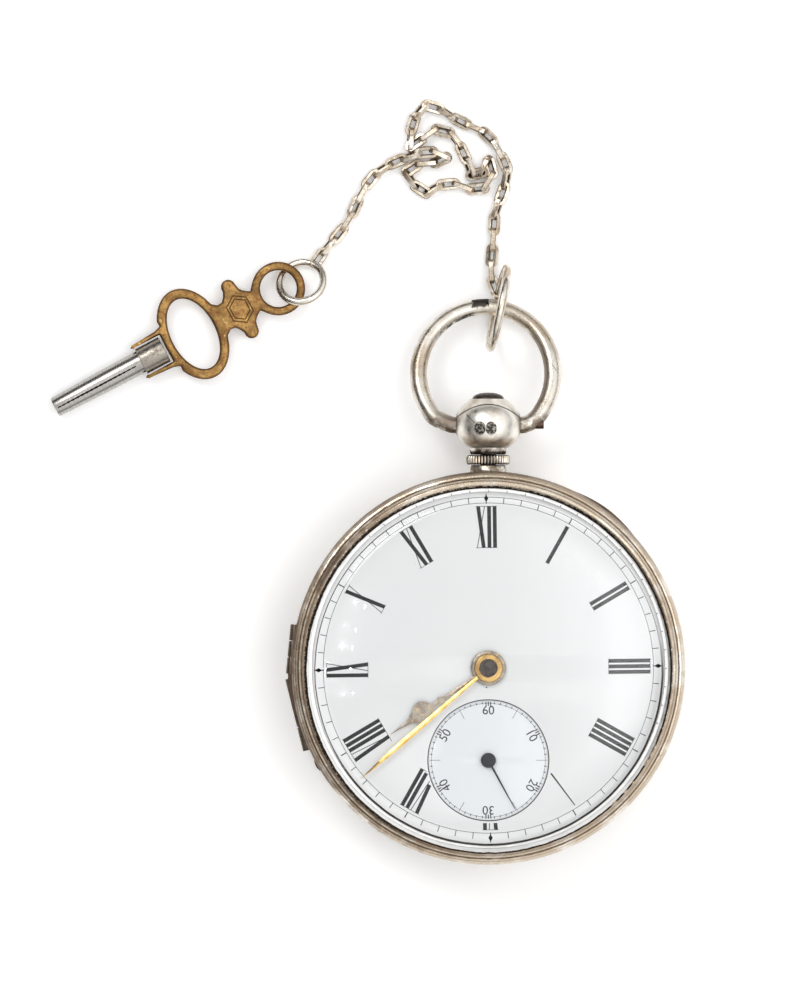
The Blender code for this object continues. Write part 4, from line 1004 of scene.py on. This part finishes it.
def printed_number(text, bearing, radius, size):
    """A number stood on its radius of the seconds dial."""
    font = bpy.data.curves.new("digits", "FONT")
    font.body = text
    font.size = size * MM
    font.fill_mode = "FRONT"
    font.align_x = "CENTER"
    font.align_y = "CENTER"
    obj = bpy.data.objects.new("digits", font)
    bpy.context.scene.collection.objects.link(obj)
    bpy.context.view_layer.update()
    mesh = bpy.data.meshes.new_from_object(obj.evaluated_get(bpy.context.evaluated_depsgraph_get()))
    bpy.data.objects.remove(obj)
    x, y = towards(bearing, radius)
    mesh.transform(place_at(SECONDS_CENTRE[0] + x, SECONDS_CENTRE[1] + y, SECONDS_TOP + PRINT_RISE)
                   @ Matrix.Rotation(-math.radians(bearing), 4, "Z"))
    return dressed(bpy.data.objects.new("number", mesh), ink_look, 20)


numbers = [printed_number(str(ten * 10 or 60), ten * 60, 6.4, 1.6) for ten in range(6)]
rides(merged("seconds_print", seconds_marks, *numbers), "case", "dial_enamel")


# ---- hands ----

def hand_blade(name, stations, z_low, z_high, bearing, material, centre=(0, 0), ridge=1.0):
    """A hand's blade along +Y with a ridge down its middle. Each station is (y, half width)."""
    verts, faces = [], []
    for y, half in stations:
        edge = z_low + (z_high - z_low) * (0.35 if half > 0.05 else 0.6)
        verts += [(-half, y, z_low), (-half, y, edge), (0, y, z_low + (z_high - z_low) * ridge),
                  (half, y, edge), (half, y, z_low)]
    for i in range(len(stations) - 1):
        a, b = i * 5, (i + 1) * 5
        faces += [(a + k, a + k + 1, b + k + 1, b + k) for k in range(4)] + [(a + 4, a, b, b + 4)]
    last = (len(stations) - 1) * 5
    faces += [(0, 1, 2, 3, 4), tuple(last + k for k in (4, 3, 2, 1, 0))]
    matrix = place_at(*centre, 0) @ Matrix.Rotation(-math.radians(bearing), 4, "Z")
    return made(name, verts, faces, material, matrix, sharp=18)


HOUR_BEARING = 235.8
MINUTE_BEARING = 229.1
SECOND_BEARING = 151.3
gold_look = hand_gold("hand_gold", 4.0)
hub_look = hand_gold("hub_gold", 9.0, (0.66, 0.43, 0.15), (0.36, 0.21, 0.07))
spade_look = old_gilt("spade_gilt")

minute_blade = hand_blade("minute", [
    (1.7, 0.20), (4, 0.22), (8, 0.28), (12, 0.33), (14.5, 0.34), (17, 0.28), (19, 0.20), (21, 0.08),
    (21.8, 0.015)], 12.40, 12.56, MINUTE_BEARING, gold_look)
minute_hub = lathe("hub", rounded([
    (1.12, 12.68), (1.12, 12.38), (1.85, 12.38), (1.85, 12.64), (1.72, 12.74), (1.2, 12.74)], 0.05),
    hub_look, steps=96)
rides(merged("minute_hand_gold", minute_blade, minute_hub), "centre", "hand_gold", "minute_hand")

spade = hand_blade("hour", [
    (2.1, 0.24), (4.5, 0.22), (6.6, 0.24), (7.15, 0.34), (7.45, 0.60), (7.75, 0.34), (8.1, 0.25),
    (8.6, 0.30), (8.9, 0.65), (9.2, 1.05), (9.6, 1.35), (9.95, 1.48), (10.35, 1.47), (10.75, 1.32),
    (11.2, 1.0), (11.7, 0.65), (12.2, 0.38), (12.9, 0.22), (13.8, 0.12), (15.3, 0.015)],
    11.99, 12.14, HOUR_BEARING, spade_look, ridge=0.8)
hour_hub = lathe("hub", rounded([
    (1.50, 12.16), (1.50, 12.0), (2.25, 12.0), (2.25, 12.14), (2.0, 12.22), (1.7, 12.22)], 0.05),
    spade_look, steps=96)
rides(merged("hour_hand_spade", spade, hour_hub), "hour", "hand_gold", "hour_hand")

seconds_blade = hand_blade("seconds", [
    (0.85, 0.14), (2.0, 0.12), (5.0, 0.085), (7.0, 0.05), (7.3, 0.02)],
    11.72, 11.84, SECOND_BEARING, blued_look, SECONDS_CENTRE)
seconds_boss = lathe("boss", rounded([
    (0, 11.92), (0.75, 11.9), (0.97, 11.8), (0.97, 11.7), (0, 11.7)], 0.05, 3, False),
    blued_look, place_at(*SECONDS_CENTRE, 0), 48)
seconds_hand = merged("seconds_hand_blued", seconds_blade, seconds_boss)
rides(seconds_hand, "fourth", "blued_steel", "seconds_hand")


# ---- pendant, bow and rings ----

neck_look = silver("silver_neck", 0.8, 0.9, rough=0.28, patch=0.9)
collar_look = silver("silver_collar", 0.6, 0.35, collar_layers, rough=0.26, patch=0.9)
# The ball's bright colour is lighter than the other silver's: painted light that makes up for the
# dark low room that it reflects.
ball_look = silver("silver_ball", 0.30, 0.05, ball_layers, rough=0.34, bright=(0.90, 0.86, 0.79))
bow_look = silver("silver_bow", 0.48, 0.08, bow_layers, rough=0.27, patch=3.5, dents=0.25)
ring_look = silver("silver_ring", 0.55, 0.35, rough=0.22, patch=1.0)

neck = lathe("neck_tube", rounded([
    (1.25, 26.2), (2.2, 26.2), (2.35, 25.6), (2.3, 24.9), (2.35, 22.9), (1.25, 22.9)], 0.1),
    neck_look, PENDANT, 64)
rides(neck, "case", "case_silver", "pendant_neck")

RIDGES = 42
knurl = []
for i in range(RIDGES * 4):
    wave = (0, 0.75, 1, 0.75)[i % 4]
    radius = 2.52 + 0.34 * wave
    knurl.append((radius * math.cos(TAU * i / RIDGES / 4), radius * math.sin(TAU * i / RIDGES / 4)))
collar = flat_piece("collar_ring", [knurl, circle(1.35, 48)], (26.27, 27.48), collar_look,
                    edge=0.30, matrix=PENDANT, sharp=28)
rides(collar, "case", "case_silver", "pendant_collar")

ball_profile = [(1.3, 33.55), (2.18, 33.55), (2.18, 34.7), (2.3, 34.76)]
for i in range(33):
    angle = math.radians(57 - i * 115 / 32)
    fullness = 0.66 if angle > 0 else 0.86
    ball_profile.append((4.35 * math.cos(angle) ** fullness, 31.35 + 3.45 * math.sin(angle)))
ball_profile += [(2.3, 27.72), (2.2, 27.55), (1.3, 27.55)]
ball = lathe("ball_shell", ball_profile, ball_look, PENDANT, 96)
BOW_PIVOT = place_at(0, 31.5, PENDANT_Z)
BOW_AXIS = BOW_PIVOT @ Matrix.Rotation(math.pi / 2, 4, "Y")
for start, end in ((-6, -2.8), (2.8, 6)):
    carved(ball, plug("socket", 1.2, end, start, ball_look, BOW_AXIS, 48))
rides(ball, "case", "case_silver", "pendant_ball")

button = lathe("button_cap", rounded([
    (0, 35.6), (1.0, 35.52), (1.75, 35.25), (2.05, 34.9), (2.05, 34.45), (1.0, 34.45), (1.0, 22.35),
    (0, 22.35)], 0.25, 4, False), dark_steel_look, PENDANT, 72)
rides(button, "push_piece", "steel", "push_piece")


def smooth(points, steps):
    """Points along the curve (Catmull-Rom) through a line's own points."""
    points = [Vector(p) for p in points]
    last = len(points) - 1
    result = []
    for i in range(last):
        a, b, c, d = (points[max(0, min(last, i + k))] for k in (-1, 0, 1, 2))
        for step in range(steps):
            t = step / steps
            result.append(0.5 * (2 * b + (c - a) * t + (2 * a - 5 * b + 4 * c - d) * t * t
                                 + (3 * b - a - 3 * c + d) * t ** 3))
    return result + [points[-1]]


# The bow hangs back on the floor. Its ring looks round from straight above, so it is made a little
# taller in its own leaning plane.
DROOP = math.radians(17.5)
BOW_FRAME = BOW_PIVOT @ Matrix.Rotation(-DROOP, 4, "X")
BOW_RADIUS = 8.7
BOW_CENTRE = 6.55
ARC_START = math.radians(-41)
ARC_STEPS = 34
side = [(2.95, 0), (3.7, -0.08), (4.4, -0.12), (5.1, 0.06)]
turns = [ARC_START + (math.pi - 2 * ARC_START) * i / ARC_STEPS for i in range(ARC_STEPS + 1)]
arc = ellipse((-0.3, BOW_CENTRE / math.cos(DROOP)), BOW_RADIUS, BOW_RADIUS / math.cos(DROOP), turns)
bow_line = smooth([(x, v, 0) for x, v in side + arc + [(-x, v) for x, v in reversed(side)]], 4)


def bow_size(share):
    """The bow's radius by the share of its length: fuller at its sides than at its top and ends."""
    from_top = 1.35 * abs(2 * share - 1) - 0.35
    return 1.05 + 0.07 * math.sin(math.pi * min(1, max(0, from_top)))


bow_sizes = [bow_size(i / (len(bow_line) - 1)) for i in range(len(bow_line))]
bow = tube("bow_wire", bow_line, bow_sizes, bow_look, sides=28, matrix=BOW_FRAME)
rusty_look = plain_metal("rusty_screw", (0.11, 0.07, 0.055), (0.04, 0.025, 0.02), 0.4, 0.5, 0.7,
                         0.06, (0.22, 0.07, 0.05))
screw = lathe("bow_screw_stub", rounded([(0, 7.2), (0.62, 7.2), (0.62, 5.15), (0, 5.15)], 0.12, 3,
                                        False), rusty_look, BOW_AXIS, 40)
rides(bow, "bow", "case_silver", "bow")
rides(screw, "bow", "steel", "bow_screw")

key_ring_look = silver("silver_key_ring", 0.3, 0.05, rough=0.2, patch=1.0)
upright = Vector((0.979, -0.205, -0.055)).to_track_quat("Z", "Y").to_matrix().to_4x4()
low_side = math.radians(110)
lean = Matrix.Rotation(math.radians(30), 4, Vector((-math.sin(low_side), math.cos(low_side), 0)))


def wire_ring(name, radius, count, wire, material, matrix):
    line = [(x, y, 0) for x, y in circle(radius, count)]
    return tube(name, line, wire, material, True, 20, matrix)


chain_ring = wire_ring("chain_ring_wire", 5.25, 120, 0.56, ring_look,
                       place_at(1.35, 46.55, 5.87) @ upright)
rides(chain_ring, "chain", "case_silver", "chain_ring")
key_ring = wire_ring("key_ring_wire", 2.93, 96, 0.52, key_ring_look,
                     place_at(-24.2, 50.0, 2.0) @ lean)
rides(key_ring, "chain", "case_silver", "key_ring")


# ---- chain ----

CHAIN_ROUTE = [
    (1.30, 48.45, 0.95), (0.55, 50.2, 0.75), (0.45, 52.6, 0.55), (0.75, 55.6, 0.55),
    (0.9, 58.6, 0.55), (1.9, 61.6, 0.55), (2.65, 64.2, 0.55), (1.7, 66.6, 0.55), (0.5, 68.6, 0.6),
    (-1.2, 69.9, 0.65), (-3.6, 70.8, 0.55), (-5.6, 72.2, 0.55), (-8.0, 73.0, 0.7),
    (-9.2, 71.9, 0.6), (-10.0, 69.6, 0.55), (-10.1, 67.5, 0.55), (-8.7, 68.5, 0.6),
    (-7.0, 69.8, 0.55), (-4.8, 69.3, 0.55), (-3.4, 67.3, 0.55), (-2.5, 65.2, 0.55),
    (-1.6, 63.3, 0.6), (-0.7, 64.3, 0.9), (-0.1, 65.9, 1.0), (0.7, 64.6, 0.7), (0.0, 62.7, 0.6),
    (-1.5, 61.7, 0.55), (-3.4, 62.7, 0.55), (-6.2, 62.6, 0.55), (-8.4, 61.4, 0.6),
    (-9.6, 62.7, 0.6), (-10.6, 64.3, 0.55), (-8.6, 65.4, 0.6), (-5.9, 65.5, 0.75),
    (-5.5, 66.6, 1.4), (-8.2, 66.9, 1.5), (-11.2, 65.9, 0.9), (-14.2, 64.4, 0.55),
    (-16.4, 61.6, 0.55), (-18.2, 57.8, 0.55), (-21.6, 53.6, 0.6), (-22.5, 52.25, 1.0)]
LINK_WIRE = 0.33
LINK_SECTION = [(1, 0.5), (0.75, 0.74), (-0.75, 0.74), (-1, 0.5), (-1, -0.5), (-0.75, -0.74),
                (0.75, -0.74), (1, -0.5)]
LINK_INNER_SIDES = (4, 5, 6)
LINK_HALF_LENGTH = 1.36
LINK_HALF_WIDTH = 0.53
LINK_PITCH = 2.06
CHAIN_LIFT = 0.16


def along(line, spacing):
    """Points at even steps of about spacing along a line."""
    total = sum((b - a).length for a, b in zip(line, line[1:]))
    count = round(total / spacing)
    points, walked = [line[0]], 0.0
    for a, b in zip(line, line[1:]):
        length = (b - a).length
        while len(points) < count and walked + length >= total / count * len(points):
            points.append(a.lerp(b, (total / count * len(points) - walked) / length))
        walked += length
    return points + [line[-1]], total


def link_outline():
    """A long link's centre line: straight sides and tight round ends, in its own plane."""
    straight = LINK_HALF_LENGTH - LINK_HALF_WIDTH
    points = []
    for end, start in ((1, -90), (-1, 90)):
        turns = [math.radians(start + i * 30) for i in range(7)]
        points += ellipse((end * straight, 0), LINK_HALF_WIDTH, LINK_HALF_WIDTH, turns)
    return [Vector((x, y, 0)) for x, y in points]


def make_chain(material, inner_material):
    """The links along the route, each turned across the last one and dark on its inner sides with
    dirt and painted shade, with the line that they follow and its length."""
    line = [point + Vector((0, 0, CHAIN_LIFT)) for point in smooth(CHAIN_ROUTE, 12)]
    joints, total = along(line, LINK_PITCH)
    outline = link_outline()
    verts, faces = [], []
    for i, (start, end) in enumerate(zip(joints, joints[1:])):
        ahead = (end - start).normalized()
        across = Vector((0, 0, 1)).cross(ahead).normalized()
        turn = Matrix((ahead, across, ahead.cross(across))).transposed().to_4x4()
        roll = math.radians((78 if i % 2 else -8) + 14 * math.sin(i * 2.4))
        matrix = Matrix.Translation((start + end) / 2) @ turn @ Matrix.Rotation(roll, 4, "X")
        link_verts, link_faces = sweep(outline, [LINK_WIRE] * len(outline), True, LINK_SECTION,
                                       Vector((0, 0, 1)))
        faces += [tuple(v + len(verts) for v in face) for face in link_faces]
        verts += [matrix @ v for v in link_verts]
    links = made("chain_links", verts, faces, material, sharp=25)
    links.data.materials.append(inner_material)
    for face in links.data.polygons:
        if face.index % len(LINK_SECTION) in LINK_INNER_SIDES:
            face.material_index = 1
    return links, line, total


chain_look = silver("silver_chain", 0.7, 0.62, rough=0.24, patch=0.7, dents=0.3)
# The links' inner sides are dark: dirt, and painted shade for the gaps between links.
chain_dirt_and_shade = plain_metal("chain_dirt_and_shade", (0.13, 0.10, 0.07), (0.045, 0.032, 0.022), 0.45, 0.7, 0.6)
chain, chain_line, chain_length = make_chain(chain_look, chain_dirt_and_shade)
rides(chain, "chain", "case_silver", "chain")


# ---- key ----

# The key lies along its own x, from the pipe's mouth at 0 to the far side of its small ring.
KEY_FRAME = place_at(*KEY_TIP) @ Matrix.Rotation(KEY_TURN, 4, "Z")
LIE_DOWN = KEY_FRAME @ Matrix.Rotation(math.pi / 2, 4, "Y")
EYE = (32.85, 0)
BOSS = (27.2, 0)
brass_look = key_brass("key_brass")
pipe_look = pipe_steel("pipe_steel")
engraving_look = plain_metal("engraving", (0.10, 0.055, 0.025), (0.05, 0.03, 0.015), 0.6, 0.5, 0.5)
socket_look = plain_metal("socket_steel", (0.33, 0.30, 0.26), (0.15, 0.12, 0.09), 0.3, 1.0, 0.5,
                          0.02, (0.25, 0.14, 0.07))
seam_look = plain_metal("seam_dirt", (0.02, 0.018, 0.016), (0.05, 0.04, 0.03), 0.6, 0.4, 0.4)


def turns_between(start, end, step):
    return [math.radians(degrees) for degrees in range(start, end, step)]


# One side of the handle's outline, from the fork at the socket round the bow, the knob and the eye.
half = [(16.35, 0.0), (16.4, 1.95), (12.4, 2.0), (12.2, 2.15), (12.6, 2.4), (16.0, 2.62),
        (16.9, 2.9)]
half += ellipse((20.3, 0), 4.2, 6.3, turns_between(145, 29, -8))
half += [(24.2, 2.3), (24.85, 1.8), (25.5, 1.85), (25.95, 2.35)]
half += ellipse((BOSS[0], 3.25), 0.95, 0.95, turns_between(195, -21, -18))
half += [(28.3, 2.4), (28.7, 1.95), (29.45, 1.4)]
half += ellipse(EYE, 3.5, 3.5, turns_between(140, 0, -10)) + [(36.35, 0.0)]
outline = rounded(half + [(x, -y) for x, y in reversed(half[1:-1])], 0.12, 2)
oval = ellipse((20.35, 0), 2.88, 4.92, [TAU * i / 72 for i in range(72)])
handle = flat_piece("handle", [outline, oval, circle(2.38, 64, EYE)], (-0.6, 0.6), brass_look,
                    edge=0.42, matrix=KEY_FRAME, edge_steps=5, sharp=50)
corners = [TAU * (i + 0.5) / 6 for i in range(6)]
engraved = []
for size, z in ((1.0, 0.595), (0.76, 0.595), (1.0, -0.595), (0.76, -0.595)):
    line = [Vector((x, y, z)) for x, y in ellipse(BOSS, 1.68 * size, 1.95 * size, corners)]
    dense = [line[i].lerp(line[(i + 1) % 6], t / 4) for i in range(6) for t in range(4)]
    engraved.append(tube("line", dense, 0.075, engraving_look, True, 6, KEY_FRAME))
rides(merged("key_bow_brass", handle, *engraved), "key", "old_brass", "key_handle")

ferrule = lathe("key_socket", rounded([
    (1.55, 16.1), (1.78, 16.1), (1.78, 12.7), (1.55, 12.7)], 0.06), socket_look, LIE_DOWN, 64)
rides(ferrule, "key", "old_brass", "key_ferrule")
pipe = lathe("pipe_body", [
    (0, 16.0), (1.45, 16.0), (1.5, 15.95), (1.5, 8.0), (1.4, 4.0), (1.31, 0.12), (1.27, 0.0),
    (1.12, 0.0), (1.05, 0.15), (1.0, 6.0), (0, 6.0)], pipe_look, LIE_DOWN, 72)
# The open seam of the rolled pipe, as a dark thread of uneven width along its top.
SEAM_POINTS = 47
SEAM_STEP = 0.25
seam_line, seam_sizes = [], []
for i in range(SEAM_POINTS):
    walked = i * SEAM_STEP
    seam_line.append(Vector((0.35 + walked, -0.24, 1.29 + 0.19 * min(1, walked / 8) - 0.045)))
    swell = math.sin(math.pi * (i + 1) / (SEAM_POINTS + 1))
    seam_sizes.append(0.09 + 0.05 * swell + 0.03 * math.sin(i * 2.3))
seam = tube("seam", seam_line, seam_sizes, seam_look, sides=8, matrix=KEY_FRAME)
rides(merged("key_pipe_steel", pipe, seam), "key", "steel", "key_pipe")

list(chain_line[0] * MM)
chain_length * MM
[tuple(p * MM) for p in chain_line]


# ---- the pieces that keep their CAD shape ----

KEPT = {
    gilt_look: "hour_wheel minute_wheel top_plate pillar_plate pillar_1 pillar_2 pillar_3 barrel "
               "great_wheel barrel_cover centre_wheel third_wheel fourth_wheel balance_cock",
    steel_look: "bezel_hinge_pin back_hinge_pin lock_spring minute_wheel_stud barrel_arbor "
                "mainspring ratchet_wheel click click_screw click_spring centre_arbor "
                "third_arbor fourth_arbor escape_arbor escape_wheel pallet_lever lever_arbor "
                "balance_staff roller cock_screw regulator",
    blued_look: "hairspring",
    dark_steel_look: "cannon_pinion",
    gold_look: "balance_wheel",
}
for look, names in KEPT.items():
    for name in names.split():
        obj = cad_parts[name]
        obj.data.materials.clear()
        obj.data.materials.append(look)

# ---- floor, lights and world ----

FLOOR_HALF = 3000
floor_look = Look("floor")
tone = floor_look.mix(floor_look.noise(60, 2, 0.5), (0.97, 0.97, 0.97), (0.985, 0.985, 0.985))
paper = floor_look.principled(tone, 0.8, Emission_Color=(1, 1, 1), Emission_Strength=0.15)
floor = made("floor", [(x * FLOOR_HALF, y * FLOOR_HALF, -0.03)
                       for x, y in ((-1, -1), (1, -1), (1, 1), (-1, 1))],
             [(0, 1, 2, 3)], floor_look.done(paper))


def area_light(name, place, target, size, power):
    """A square soft white light. Its place, target and size are in metres."""
    lamp = bpy.data.lights.new(name, "AREA")
    lamp.size = size
    lamp.energy = power
    obj = bpy.data.objects.new(name, lamp)
    obj.location = place
    obj.rotation_euler = (Vector(target) - Vector(place)).to_track_quat("-Z", "Y").to_euler()
    bpy.context.scene.collection.objects.link(obj)


TARGET = (-0.0115, 0.0228, 0.005)
area_light("key", (-0.40, 0.50, 0.80), TARGET, 0.40, 2.6)
# The right softbox is dimmer towards its edges: nested panels, each a little larger.
PANELS = 6
for layer in range(PANELS):
    place = (0.38, 0.02, 1.0 + 0.004 * layer)
    area_light(f"right_{layer}", place, TARGET, 0.34 + 0.075 * layer, 1.7 / PANELS)

# Small lamps whose highlights stand in a column on the left of the crystal. Each is placed where
# the dome, which slopes about 6.5 degrees there, reflects it to the camera.
SPOTS = ((-15.9, 7.9), (-17.4, 5.0), (-17.2, 2.6), (-18.2, 0.0), (-17.5, -3.2))
SPOT_RISE = 600
DOME_TURN = 0.23
for i, (x, y) in enumerate(SPOTS):
    out = Vector((x, y)).normalized() * DOME_TURN
    toward = (Vector(VIEW_CENTRE) - Vector((x, y))) / CAMERA_HEIGHT
    lamp = Vector((x, y)) + (out - toward) * SPOT_RISE
    area_light(f"spot_{i}", (lamp.x * MM, lamp.y * MM, 0.615), (x * MM, y * MM, 0.0148), 0.0030,
               0.0048)

# The room is white, darker towards the left and just above the horizon.
world = bpy.data.worlds.new("studio")
world.use_nodes = True
room = Nodes(world.node_tree)
background = room.tree.nodes["Background"]
east, north, up = room.split(room.node("ShaderNodeTexCoord").outputs["Generated"])
ramp = room.node("ShaderNodeValToRGB")
room.put(east * 0.9 + north * -0.25 + up * 0.75 + 0.25, ramp.inputs[0])
ramp.color_ramp.elements[0].color = (0.10, 0.095, 0.09, 1)
ramp.color_ramp.elements[1].color = (1.0, 1.0, 1.0, 1)
room.put(ramp.outputs[0], background.inputs["Color"])
room.put(up.step(0.08, 0.50, 0.10, 1.0) * 1.2, background.inputs["Strength"])
bpy.context.scene.world = world
